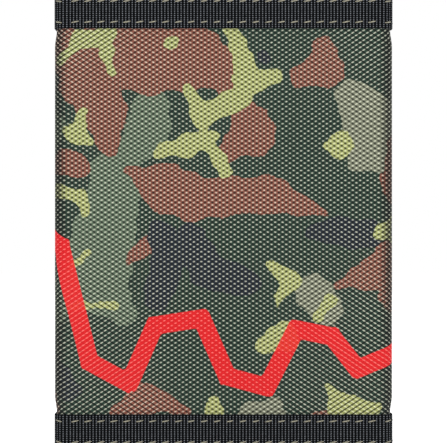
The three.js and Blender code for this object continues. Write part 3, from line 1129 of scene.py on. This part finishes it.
def strip_of_cloth(kind, slot, step, after=None):
    """The whole strip, fold by fold and panel by panel. after finishes each mesh, as with its print."""
    for fold_name, fold in FOLDS.items():
        piece = fold_cloth(fold_name, kind, slot, step)
        if after:
            after(piece)
        fold.blend(piece, SHELL_DEPTH)
    for stem in PLAIN:
        node = f"{stem}_{kind}"
        low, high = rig.box(node)
        shape = bulge(STRETCHES[stem], low.z, high.z) if kind == "shell" else None
        piece = flat_ply(node, stem, slot, step, shape, suffix="cloth")
        if after:
            after(piece)
        if not stem.endswith("spine"):
            declare_sheet(piece, node, f"{stem}_bottom_binding_tape")


class WALLET_OT_printed_cloth(bpy.types.Operator):
    """Makes the printed outside of the wallet, round all four folds"""

    bl_idname = "wallet.printed_cloth"
    bl_label = "Printed Cloth"

    def execute(self, context):
        strip_of_cloth("shell", "printed_cloth", sizes().cloth_grid, print_pattern)
        return {"FINISHED"}


class WALLET_OT_linings(bpy.types.Operator):
    """Makes the lining that closes the note compartment"""

    bl_idname = "wallet.linings"
    bl_label = "Linings"

    def execute(self, context):
        strip_of_cloth("lining", "lining_cloth", 3 * MM)
        return {"FINISHED"}


# ---------------------------------------------------------------- bindings

def binding_edges(kind, node):
    """Heights of a tape's web and of its open edges."""
    low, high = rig.box(node)
    return (low.z, high.z) if kind == "bottom" else (high.z, low.z)


def tape_seams(stretch, runs, depths, edges):
    """Two rows of stitches on each leg of a tape."""
    web, opening = edges
    inset = math.copysign(sizes().stitch_inset, opening - web)
    rows = (web + inset, opening - inset)
    sunk = sizes().rib_depth / 2
    sides = ((depths[0] + sunk, 1), (depths[1] - sunk, -1))
    return [Seam(stretch, runs, row, depth, out) for row in rows for depth, out in sides]


def ribbed_tape(name, stretch, runs, depths, edges):
    """A folded tape and the thread that sews it down, as two pieces."""
    section = tape_section(depths, *edges, TAPE_THICKNESS)
    stations = steps(*runs, sizes().rib_pitch / 4)
    shape = ribbed(stretch, TAPE_THICKNESS)
    tape = sweep(name, stretch, section, stations, "binding_tape", shape)
    thread = sew(name.replace("_tape", "_thread"), tape_seams(stretch, runs, depths, edges))
    return tape, thread


class WALLET_OT_bindings(bpy.types.Operator):
    """Makes the ribbed tape over every edge, with its two rows of thread"""

    bl_idname = "wallet.bindings"
    bl_label = "Bindings"

    def execute(self, context):
        for kind in ("bottom", "top", "lining"):
            for stem in PLAIN:
                self.flat_tape(stem, kind)
            for fold_name in FOLDS:
                self.folded_tape(fold_name, kind)
        self.side_tape("outer_flap", HIGH, -1)
        self.side_tape("tucked_flap", LOW, 1)
        return {"FINISHED"}

    def flat_tape(self, stem, kind):
        node = f"{stem}_{kind}_binding"
        stretch = STRETCHES[stem]
        edges = binding_edges(kind, node)
        self.fastened_tape(node, stretch, stretch.runs(node), stretch.depths(node), edges)

    def folded_tape(self, fold_name, kind):
        fold, beside = FOLDS[fold_name], spine_beside(fold_name)
        node = f"{beside}_{kind}_binding"
        depths = STRETCHES[beside].depths(node)
        edges = binding_edges(kind, node)
        for piece in ribbed_tape(f"{fold_name}_{kind}_tape", fold, (0, fold.length), depths, edges):
            fold.blend(piece, SHELL_DEPTH)

    def side_tape(self, stem, end, way):
        node = f"{stem}_side_binding"
        low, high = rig.box(node)
        stretch = Upright(STRETCHES[stem], node, face(node, X, end), way)
        edges = (0.0, high.x - low.x)
        self.fastened_tape(node, stretch, (0.0, high.z - low.z), STRETCHES[stem].depths(node), edges)

    def fastened_tape(self, node, stretch, runs, depths, edges):
        """A tape that stands for its CAD node, and its thread, on one body."""
        tape, thread = ribbed_tape(f"{node}_tape", stretch, runs, depths, edges)
        fasten(tape, stretch.body, node)
        fasten(thread, stretch.body)


# ---------------------------------------------------------------- pockets, window and closure

# How far a doubled hem stands up, and over what distance it comes down again.
HEM_RISE, HEM_SLOPE = 0.05 * MM, 0.6 * MM


def hemmed(high, hem):
    """A doubled hem along the top of a ply."""
    def shape(run, depth, height, outside, inner):
        raised = HEM_RISE * smooth_step((hem - high + height) / HEM_SLOPE)
        return depth + (raised if not outside else 0.0), height
    return shape


def mouth_seam(node, stem, below):
    """A row of stitches under the mouth of a pocket, on the face that looks into the wallet."""
    stretch = STRETCHES[stem]
    runs, margin = stretch.runs(node), 1.5 * MM
    height = face(node, Z, HIGH) - below
    return Seam(stretch, (runs[0] + margin, runs[1] - margin), height, stretch.depths(node)[1], -1)


class WALLET_OT_pockets(bpy.types.Operator):
    """Makes the card pockets and the slip pockets, each with a hem and a row of thread"""

    bl_idname = "wallet.pockets"
    bl_label = "Pockets"

    def execute(self, context):
        hem = sizes().hem_width
        rows = {
            "centre": ("card_pocket_upper", "card_pocket_middle", "card_pocket_lower"),
            "tucked_flap": ("slip_pocket_upper", "slip_pocket_lower"),
        }
        for stem, nodes in rows.items():
            for node in nodes:
                shape = hemmed(face(node, Z, HIGH), hem)
                piece = flat_ply(node, stem, "pocket_cloth", 1.6 * MM, shape)
                declare_sheet(piece, node, f"{stem}_lining_cloth")
                thread = sew(f"{node}_thread", [mouth_seam(node, stem, hem * 0.8)], FINE_STITCH)
                fasten(thread, STRETCHES[stem].body)
        return {"FINISHED"}


class WALLET_OT_window(bpy.types.Operator):
    """Makes the clear window for a card and the tape along its mouth"""

    bl_idname = "wallet.window"
    bl_label = "Card Window"

    def execute(self, context):
        window = flat_ply("id_window", "outer_flap", "clear_vinyl", 3 * MM)
        declare_sheet(window, "id_window", "outer_flap_lining_cloth")
        node = "id_window_trim"
        stretch = STRETCHES["outer_flap"]
        low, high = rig.box(node)
        depths, runs = stretch.depths(node), stretch.runs(node)
        section = cloth_section(depths, (low.z, high.z), 1.0 * MM)
        stations = steps(*runs, sizes().rib_pitch / 4)
        shape = self.trim_shape(stretch)
        trim = sweep(f"{node}_tape", stretch, section, stations, "binding_tape", shape)
        fasten(trim, "outer_flap", node)
        depth = depths[1] - sizes().rib_depth / 2
        seam = Seam(stretch, runs, low.z + sizes().stitch_inset, depth, -1)
        fasten(sew("id_window_trim_thread", [seam]), "outer_flap")
        return {"FINISHED"}

    def trim_shape(self, stretch):
        """The trim is seen from inside the wallet, so its ribs are on its inner face."""
        def shape(run, depth, height, outside, inner):
            wave = (1 - math.cos(FULL_TURN * stretch.flat(run) / sizes().rib_pitch)) / 2
            return depth - (0.0 if outside else sizes().rib_depth * wave), height
        return shape


def hashed(number):
    """A repeatable number from 0 to 1 for a whole number."""
    return math.modf(abs(math.sin(number * 12.9898 + 4.1) * 43758.5453))[0]


# How far each bristle stands off its place in the rows, as a share of the pitch.
SCATTER = 0.25
CROSS = [Vector(way) for way in ((1, 0, 0), (0, 0, 1), (-1, 0, 0), (0, 0, -1))]


def bristles(node, body, pitch, base_share, outline, radius, facing, turned):
    """A backing with rows of small bent threads on it. outline gives a thread's path as (along, up) shares
    of the pitch and of the room above the backing. They face along Y, -1 or 1, and turned gives each one's
    angle from its column and its seed."""
    low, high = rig.box(node)
    room = (high.y - low.y) * (1 - base_share)
    ground = low.y + room if facing < 0 else high.y - room
    back, front = (ground, high.y) if facing < 0 else (low.y, ground)
    points = [(x, y, z) for x in (low.x, high.x) for y in (back, front) for z in (low.z, high.z)]
    faces = [(0, 1, 3, 2), (4, 6, 7, 5), (0, 4, 5, 1), (2, 3, 7, 6), (0, 2, 6, 4), (1, 5, 7, 3)]
    for column in range(int((high.x - low.x) / pitch)):
        for row in range(int((high.z - low.z) / pitch)):
            seed = column * 131 + row * 17
            x = low.x + pitch * (column + 0.5 + SCATTER * (hashed(seed) - 0.5))
            z = low.z + pitch * (row + 0.5 + SCATTER * (hashed(seed + 7) - 0.5))
            turn = turned(column, seed)
            way = Vector((math.sin(turn), 0, math.cos(turn))) * pitch
            faces += tube_faces(len(points), len(outline), len(CROSS))
            for along, up in outline:
                spot = Vector((x, ground + facing * up * room, z)) + way * along
                points += [tuple(spot + offset * radius) for offset in CROSS]
    flats = [(x / MM, z / MM, 0.0) for x, y, z in points]
    kind = node.split("_")[0]
    fasten(make_piece(f"{node}_{kind}s", points, faces, flats, f"{kind}_tape"), body, node)


class WALLET_OT_closure(bpy.types.Operator):
    """Makes the hook strip and the loop strip that hold the wallet shut"""

    bl_idname = "wallet.closure"
    bl_label = "Hook and Loop Closure"

    HOOK = ((0.0, -0.1), (0.0, 0.7), (0.12, 0.92), (0.3, 0.8))
    LOOP = ((-0.3, -0.1), (-0.2, 0.7), (0.0, 0.95), (0.2, 0.7), (0.3, -0.1))
    HOOK_RADIUS, LOOP_RADIUS = 0.13 * MM, 0.09 * MM
    # The backing's share of each strip's depth.
    HOOK_BASE, LOOP_BASE = 0.35, 0.45

    def execute(self, context):
        size = sizes()
        hook = (size.hook_pitch, self.HOOK_BASE, self.HOOK, self.HOOK_RADIUS)
        loop = (size.loop_pitch, self.LOOP_BASE, self.LOOP, self.LOOP_RADIUS)
        bristles("hook_strip", "outer_flap", *hook, -1, self.to_and_fro)
        bristles("loop_strip", "tucked_flap", *loop, 1, self.every_way)
        return {"FINISHED"}

    def to_and_fro(self, column, seed):
        return math.pi if column % 2 else 0.0

    def every_way(self, column, seed):
        return FULL_TURN * hashed(seed + 3)


# ---------------------------------------------------------------- coin pocket and zip

class WALLET_OT_coin_pocket(bpy.types.Operator):
    """Makes the coin pocket, full in the middle and sewn down on three sides"""

    bl_idname = "wallet.coin_pocket"
    bl_label = "Coin Pocket"

    SEAM_WIDTH = 3.5 * MM
    CLOTH = 0.6 * MM
    PUFF, PUFF_REACH, MOUTH_REACH = 0.7 * MM, 22 * MM, 6 * MM
    SEAM_DROP, MOUTH_LIFT = 0.25 * MM, 0.3 * MM
    STEP = 1.2 * MM
    INSET = 1.3 * MM

    def execute(self, context):
        node = "coin_pocket"
        stretch = STRETCHES["outer_flap"]
        low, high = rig.box(node)
        runs, depth = stretch.runs(node), stretch.depths(node)[0]
        section = cloth_section((depth, depth + self.CLOTH), (low.z, high.z), self.STEP)
        shape = self.crown(runs, low.z, high.z)
        piece = sweep("coin_pocket_front", stretch, section, steps(*runs, self.STEP), "pocket_cloth", shape)
        fasten(piece, "outer_flap", node)
        declare_sheet(piece, node, "outer_flap_shell_cloth")
        self.seams(stretch, runs, low, high, depth + self.SEAM_DROP * 0.7)
        return {"FINISHED"}

    def crown(self, runs, foot, mouth):
        """Down to the shell along the seams, and out towards the middle."""
        def shape(run, depth, height, outside, inner):
            from_seam = min(run - runs[0], runs[1] - run, height - foot)
            sewn = smooth_step(from_seam / self.SEAM_WIDTH)
            middle = smooth_step(min(from_seam, mouth - height + self.MOUTH_REACH) / self.PUFF_REACH)
            return depth + self.SEAM_DROP * (1 - sewn) - self.PUFF * middle, height
        return shape

    def seams(self, stretch, runs, low, high, depth):
        """Thread round all four sides, with the side rows stopping short of the zip."""
        across = (runs[0] + self.INSET, runs[1] - self.INSET)
        rows = [
            Seam(stretch, across, low.z + self.INSET, depth, 1),
            Seam(stretch, across, high.z - self.INSET, depth - self.MOUTH_LIFT, 1),
        ]
        upright = (self.INSET, high.z - low.z - 5 * MM)
        for end, way in ((runs[0], 1), (runs[1], -1)):
            side = Upright(stretch, "coin_pocket", stretch.corner.x + stretch.along.x * end, way)
            rows.append(Seam(side, upright, self.INSET, depth, 1))
        fasten(sew("coin_pocket_thread", rows, FINE_STITCH), "outer_flap")


class WALLET_OT_zip_tapes(bpy.types.Operator):
    """Makes the two zip tapes and the coil along each of them"""

    bl_idname = "wallet.zip_tapes"
    bl_label = "Zip Tapes and Coils"

    SIDES = 6
    TURN_STEPS = 10
    HALF_SLOT = 0.1 * MM

    def execute(self, context):
        for word in ("upper", "lower"):
            heights = self.heights("tape", word)
            flat_ply(f"zip_tape_{word}", "outer_flap", "zip_tape", 1.4 * MM, heights=heights)
            self.coil(word)
        return {"FINISHED"}

    def heights(self, kind, word):
        """Foot and head of a tape or coil, closed up to the thin slot that the slider's post runs in."""
        middle = (face(f"zip_{kind}_upper", Z, LOW) + face(f"zip_{kind}_lower", Z, HIGH)) / 2
        if word == "upper":
            return middle + self.HALF_SLOT, face(f"zip_{kind}_upper", Z, HIGH)
        return face(f"zip_{kind}_lower", Z, LOW), middle - self.HALF_SLOT

    def coil(self, word):
        """A wire wound round and round, flattened to the coil's height and width."""
        node = f"zip_coil_{word}"
        low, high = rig.box(node)
        wire = sizes().coil_radius
        low.z, high.z = self.heights("coil", word)
        middle = (low + high) / 2
        deep, wide = (high.y - low.y) / 2 - wire, (high.z - low.z) / 2 - wire
        shift = sizes().coil_pitch / 2 if word == "lower" else 0.0
        start, end = low.x + wire + shift, high.x - wire - sizes().coil_pitch / 2 + shift
        turns = (end - start) / sizes().coil_pitch
        count = int(turns * self.TURN_STEPS)
        centres = []
        for n in range(count + 1):
            angle = FULL_TURN * n / self.TURN_STEPS
            turned = Vector((0, deep * math.cos(angle), wide * math.sin(angle)))
            turned.x = start + (end - start) * n / count - middle.x
            centres.append(middle + turned)
        points, flats = [], []
        for n, centre in enumerate(centres):
            tangent = (centres[min(n + 1, count)] - centres[max(n - 1, 0)]).normalized()
            first = tangent.cross(Vector((1, 0, 0))).normalized()
            second = tangent.cross(first)
            for side in range(self.SIDES):
                angle = FULL_TURN * side / self.SIDES
                points.append(tuple(centre + (first * math.cos(angle) + second * math.sin(angle)) * wire))
                flats.append((n, side, 0.0))
        faces = tube_faces(0, len(centres), self.SIDES)
        fasten(make_piece(f"{node}_wire", points, faces, flats, "zip_coil"), "outer_flap", node)


# ---------------------------------------------------------------- metal pieces, shaped from primitives

# Points this close to an end are taken to be on it.
NEAR = 0.1 * MM


def deselect_all():
    """Leaves nothing selected, because an operator acts on all that is."""
    bpy.ops.object.select_all(action="DESELECT")


def start_block(name, low, high):
    """A cube at its size and place, left in edit mode with nothing selected."""
    deselect_all()
    centre, span = (low + high) / 2, high - low
    bpy.ops.mesh.primitive_cube_add(size=1, location=centre, scale=span)
    return begin_shaping(name)


def begin_shaping(name):
    """Names the new primitive, settles its place in its mesh and opens it for edits."""
    piece = bpy.context.object
    piece.name = piece.data.name = name
    bpy.ops.object.transform_apply(location=True, rotation=True, scale=True)
    bpy.ops.object.mode_set(mode="EDIT")
    bpy.ops.mesh.select_mode(type="FACE")
    bpy.ops.mesh.select_all(action="DESELECT")
    return piece


def pick_faces(piece, test):
    """Selects only the faces whose centre and normal pass the test."""
    shape = bmesh.from_edit_mesh(piece.data)
    for one in shape.faces:
        one.select_set(bool(test(one.calc_center_median(), one.normal)))
    shape.select_flush_mode()
    bmesh.update_edit_mesh(piece.data)


def cut_across(piece, spot, normal):
    """Cuts every face where a plane passes."""
    bpy.ops.mesh.select_all(action="SELECT")
    bpy.ops.mesh.bisect(plane_co=spot, plane_no=normal)
    bpy.ops.mesh.select_all(action="DESELECT")


def finish_metal(piece, bevel):
    """Rounds the sharp edges, smooths the rest and gives the metal its finish."""
    bpy.ops.object.mode_set(mode="OBJECT")
    rounding = piece.modifiers.new("Rounding", "BEVEL")
    rounding.width = bevel
    rounding.segments = 3
    rounding.limit_method = "ANGLE"
    bpy.ops.object.modifier_apply(modifier=rounding.name)
    bpy.ops.object.shade_smooth_by_angle(angle=SMOOTH_ANGLE)
    piece.data.materials.clear()
    piece.data.materials.append(finish_named("zip_metal"))
    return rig.slot(piece, "zip_metal")


PANEL_WALL = 0.06 * MM


def sink_panel(piece, test, margin, depth):
    """Sinks a panel into the picked flat faces, inside a margin, with steep walls."""
    bpy.ops.object.mode_set(mode="EDIT")
    bpy.ops.mesh.select_mode(type="FACE")
    pick_faces(piece, lambda centre, normal: normal.y > 0.999 and test(centre))
    bpy.ops.mesh.inset(thickness=margin, depth=0.0)
    bpy.ops.mesh.inset(thickness=PANEL_WALL, depth=0.0)
    bpy.ops.transform.translate(value=(0, -depth, 0))
    bpy.ops.object.mode_set(mode="OBJECT")
    bpy.ops.object.shade_smooth_by_angle(angle=SMOOTH_ANGLE)


def narrow_end(piece, test, middle, share):
    """Draws the points that pass the test in towards the middle height."""
    shape = bmesh.from_edit_mesh(piece.data)
    for point in shape.verts:
        if test(point.co):
            point.co.z = middle + (point.co.z - middle) * share
    bmesh.update_edit_mesh(piece.data)


def join(name, pieces):
    """One piece from several, under a new name."""
    deselect_all()
    for piece in pieces:
        piece.select_set(True)
    bpy.context.view_layer.objects.active = pieces[0]
    bpy.ops.object.join()
    pieces[0].name = pieces[0].data.name = name
    return pieces[0]


class WALLET_OT_zip_slider(bpy.types.Operator):
    """Makes the slider's two plates, its post and the bridge for the pull"""

    bl_idname = "wallet.zip_slider"
    bl_label = "Zip Slider"

    def execute(self, context):
        low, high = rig.box("zip_slider")
        lower, upper, post = 0.35 * MM, 0.4 * MM, 0.07 * MM
        flange = 2.2 * MM
        middle = (low + high) / 2
        bottom = self.plate("slider_lower_plate", low, Vector((high.x, low.y + lower, high.z)))
        top = self.plate("slider_upper_plate", Vector((low.x, high.y - upper, low.z)), high, flange)
        stem = start_block(
            "slider_post",
            Vector((middle.x + 0.5 * MM, low.y + lower / 2, middle.z - post)),
            Vector((high.x - 1.2 * MM, high.y - upper / 2, middle.z + post)),
        )
        pick_faces(stem, lambda centre, normal: normal.x < -0.9)
        bpy.ops.transform.resize(value=(1, 1, 0.3), center_override=(middle.x, middle.y, middle.z))
        finish_metal(stem, 0.02 * MM)
        body = join("zip_slider_body", [top, bottom, stem])
        fasten(body, "zip_slider", "zip_slider")
        self.bridge()
        return {"FINISHED"}

    def plate(self, name, low, high, flange=None):
        """A plate that narrows towards the closed coils, with flanges turned down beside them."""
        piece = start_block(name, low, high)
        middle = (low + high) / 2
        if flange:
            for side in (-1, 1):
                cut_across(piece, (middle.x, middle.y, middle.z + side * flange), (0, 0, 1))
            pick_faces(
                piece, lambda centre, normal: normal.y < -0.9 and abs(centre.z - middle.z) > flange
            )
            bpy.ops.mesh.extrude_region_move(TRANSFORM_OT_translate={"value": (0, -0.95 * MM, 0)})
        cut_across(piece, (low.x + 2.6 * MM, middle.y, middle.z), (1, 0, 0))
        narrow_end(piece, lambda spot: spot.x < low.x + NEAR, middle.z, 0.8)
        if flange:
            pick_faces(piece, lambda centre, normal: normal.y > 0.9)
            bpy.ops.mesh.inset(thickness=0.45 * MM, depth=0.0)
            bpy.ops.transform.translate(value=(0, -0.08 * MM, 0))
        return finish_metal(piece, 0.12 * MM)

    def bridge(self):
        """An arch drawn from its foot: up, round, across, round and down."""
        low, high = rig.box("zip_bridge")
        bar, bend = 0.5 * MM, 0.45 * MM
        deselect_all()
        start = Vector((low.x + bar / 2, low.y, (low.z + high.z) / 2))
        bpy.ops.mesh.primitive_plane_add(size=1, location=start, rotation=(QUARTER_TURN, 0, 0))
        bpy.context.object.scale = (bar, high.z - low.z, 1)
        piece = begin_shaping("zip_bridge_arch")
        bpy.ops.mesh.select_all(action="SELECT")
        rise = high.y - low.y - bar - bend
        across = high.x - low.x - 2 * (bar + bend)
        bpy.ops.mesh.extrude_region_move(TRANSFORM_OT_translate={"value": (0, rise, 0)})
        turn = (low.x + bar + bend, low.y + rise, start.z)
        bpy.ops.mesh.spin(steps=6, angle=QUARTER_TURN, center=turn, axis=(0, 0, 1))
        bpy.ops.mesh.extrude_region_move(TRANSFORM_OT_translate={"value": (across, 0, 0)})
        turn = (turn[0] + across, turn[1], turn[2])
        bpy.ops.mesh.spin(steps=6, angle=QUARTER_TURN, center=turn, axis=(0, 0, 1))
        bpy.ops.mesh.extrude_region_move(TRANSFORM_OT_translate={"value": (0, -rise, 0)})
        bpy.ops.mesh.select_all(action="SELECT")
        bpy.ops.mesh.remove_doubles(threshold=0.001 * MM)
        bpy.ops.mesh.normals_make_consistent(inside=False)
        finish_metal(piece, 0.1 * MM)
        fasten(piece, "zip_slider", "zip_bridge")


class WALLET_OT_zip_pull(bpy.types.Operator):
    """Makes the pull tab with its eye, rounded tip and sunk panel"""

    bl_idname = "wallet.zip_pull"
    bl_label = "Zip Pull"

    def execute(self, context):
        low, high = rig.box("zip_pull")
        middle = (low + high) / 2
        thickness, arm, eye_end = high.y - low.y, 1.3 * MM, 20.0 * MM
        deselect_all()
        bpy.ops.mesh.primitive_plane_add(size=1, location=middle, rotation=(QUARTER_TURN, 0, 0))
        bpy.context.object.scale = (high.x - low.x, high.z - low.z, 1)
        piece = begin_shaping("zip_pull_tab")
        cut_across(piece, (eye_end, middle.y, middle.z), (1, 0, 0))
        narrow_end(piece, lambda spot: spot.x > high.x - NEAR, middle.z, 0.88)
        pick_faces(piece, lambda centre, normal: centre.x > eye_end)
        bpy.ops.mesh.inset(thickness=arm, depth=0.0)
        bpy.ops.mesh.delete(type="FACE")
        bpy.ops.mesh.select_mode(type="VERT")
        shape = bmesh.from_edit_mesh(piece.data)
        for point in shape.verts:
            point.select_set(point.co.x < low.x + NEAR)
        bmesh.update_edit_mesh(piece.data)
        bpy.ops.mesh.bevel(offset=1.4 * MM, segments=5, affect="VERTICES")
        bpy.ops.mesh.select_mode(type="FACE")
        bpy.ops.object.mode_set(mode="OBJECT")
        wall = piece.modifiers.new("Wall", "SOLIDIFY")
        wall.thickness, wall.offset = thickness, 0.0
        bpy.ops.object.modifier_apply(modifier=wall.name)
        bpy.ops.object.mode_set(mode="EDIT")
        bpy.ops.mesh.select_all(action="SELECT")
        bpy.ops.mesh.normals_make_consistent(inside=False)
        finish_metal(piece, 0.1 * MM)
        sink_panel(piece, lambda centre: centre.x < eye_end - 2 * MM, 0.8 * MM, 0.16 * MM)
        fasten(piece, "zip_pull", "zip_pull")
        return {"FINISHED"}


class WALLET_OT_zip_stops(bpy.types.Operator):
    """Makes the clamped metal stop at each end of the zip"""

    bl_idname = "wallet.zip_stops"
    bl_label = "Zip Stops"

    def execute(self, context):
        for word in ("left", "right"):
            node = f"zip_stop_{word}"
            low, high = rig.box(node)
            middle = (low + high) / 2
            piece = start_block(f"{node}_clamp", low, high)
            pick_faces(piece, lambda centre, normal: normal.y > 0.9)
            bpy.ops.mesh.inset(thickness=0.3 * MM, depth=0.0)
            bpy.ops.transform.translate(value=(0, -0.12 * MM, 0))
            cut_across(piece, middle, (0, 0, 1))
            finish_metal(piece, 0.1 * MM)
            fasten(piece, "outer_flap", node)
        return {"FINISHED"}


# ---------------------------------------------------------------- stage

class WALLET_OT_stage(bpy.types.Operator):
    """Sets the pale floor, the soft studio light and the camera"""

    bl_idname = "wallet.stage"
    bl_label = "Stage"

    CAMERA_DISTANCE = 0.6
    LENS = 175.0
    # Each soft lamp's name, place, size in metres and power in watts.
    LAMPS = (
        ("key_light", (-0.45, -0.9, 0.7), 0.7, 5.5),
        ("fill_light", (0.6, -0.8, 0.35), 0.9, 3.5),
        ("back_light", (0.3, 0.9, 0.6), 0.8, 7.0),
    )
    SKY_LIGHT = 0.35
    FLOOR_SIZE = 4

    def execute(self, context):
        low, high = CAD_BOX
        middle = (low + high) / 2
        self.camera(context, Vector((middle.x, FRONT - self.CAMERA_DISTANCE, middle.z)))
        self.floor(low.z)
        for name, place, size, power in self.LAMPS:
            self.lamp(name, Vector(place), middle, size, power)
        self.sky(context)
        context.scene.view_settings.view_transform = "Standard"
        return {"FINISHED"}

    def camera(self, context, place):
        """Level with the middle of the wallet and straight in front of it."""
        made = bpy.data.objects.new("camera", bpy.data.cameras.new("camera"))
        made.data.lens = self.LENS
        made.location = place
        made.rotation_euler = (QUARTER_TURN, 0, 0)
        context.collection.objects.link(made)
        context.scene.camera = made

    def floor(self, level):
        deselect_all()
        bpy.ops.mesh.primitive_plane_add(size=self.FLOOR_SIZE, location=(0, 0, level))
        made = bpy.context.object
        made.name = "floor"
        bpy.ops.object.transform_apply(location=True)
        made.data.materials.append(finish_named("floor_paint"))
        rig.stage(made)

    def lamp(self, name, place, target, size, power):
        """A square lamp that points at the target."""
        data = bpy.data.lights.new(name, "AREA")
        data.size, data.energy = size, power
        made = bpy.data.objects.new(name, data)
        made.location = place
        made.rotation_euler = (target - place).to_track_quat("-Z", "Y").to_euler()
        bpy.context.collection.objects.link(made)

    def sky(self, context):
        """White where it is seen, and dimmer where it lights the wallet, so that the folds stay dark."""
        world = bpy.data.worlds.new("sky")
        world.use_nodes = True
        tree = world.node_tree
        seen = tree.nodes["Background"]
        seen.inputs["Color"].default_value = (1, 1, 1, 1)
        lit = tree.nodes.new("ShaderNodeBackground")
        lit.inputs["Color"].default_value = (1, 1, 1, 1)
        lit.inputs["Strength"].default_value = self.SKY_LIGHT
        choice = tree.nodes.new("ShaderNodeMixShader")
        path = tree.nodes.new("ShaderNodeLightPath")
        tree.links.new(path.outputs["Is Camera Ray"], choice.inputs[0])
        tree.links.new(lit.outputs[0], choice.inputs[1])
        tree.links.new(seen.outputs[0], choice.inputs[2])
        tree.links.new(choice.outputs[0], tree.nodes["World Output"].inputs["Surface"])
        context.scene.world = world


OPERATORS = (
    WALLET_OT_stage,
    WALLET_OT_printed_cloth,
    WALLET_OT_linings,
    WALLET_OT_bindings,
    WALLET_OT_pockets,
    WALLET_OT_window,
    WALLET_OT_closure,
    WALLET_OT_coin_pocket,
    WALLET_OT_zip_tapes,
    WALLET_OT_zip_slider,
    WALLET_OT_zip_pull,
    WALLET_OT_zip_stops,
)


class WALLET_PT_pieces(bpy.types.Panel):
    """Lists the wallet's pieces in the sidebar"""

    bl_idname = "WALLET_PT_pieces"
    bl_label = "Trifold Wallet"
    bl_space_type = "VIEW_3D"
    bl_region_type = "UI"
    bl_category = "Wallet"

    def draw(self, context):
        for made in OPERATORS:
            self.layout.operator(made.bl_idname)
        for group in (context.scene.wallet_sizes, context.scene.wallet_colours):
            box = self.layout.box()
            for name in group.__annotations__:
                box.prop(group, name)


CLASSES = (WalletSizes, WalletColours, *OPERATORS, WALLET_PT_pieces)


def register():
    for made in CLASSES:
        bpy.utils.register_class(made)
    bpy.types.Scene.wallet_sizes = bpy.props.PointerProperty(type=WalletSizes)
    bpy.types.Scene.wallet_colours = bpy.props.PointerProperty(type=WalletColours)


def unregister():
    del bpy.types.Scene.wallet_colours
    del bpy.types.Scene.wallet_sizes
    for made in reversed(CLASSES):
        bpy.utils.unregister_class(made)


def main():
    register()
    for made in OPERATORS:
        group, name = made.bl_idname.split(".")
        getattr(getattr(bpy.ops, group), name)()
    boxes = {"cad": CAD_BOX, "visual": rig.bounds()}
    with open("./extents.json", "w") as report:
        json.dump({name: [list(corner) for corner in box] for name, box in boxes.items()}, report)


if __name__ == "__main__":
    main()
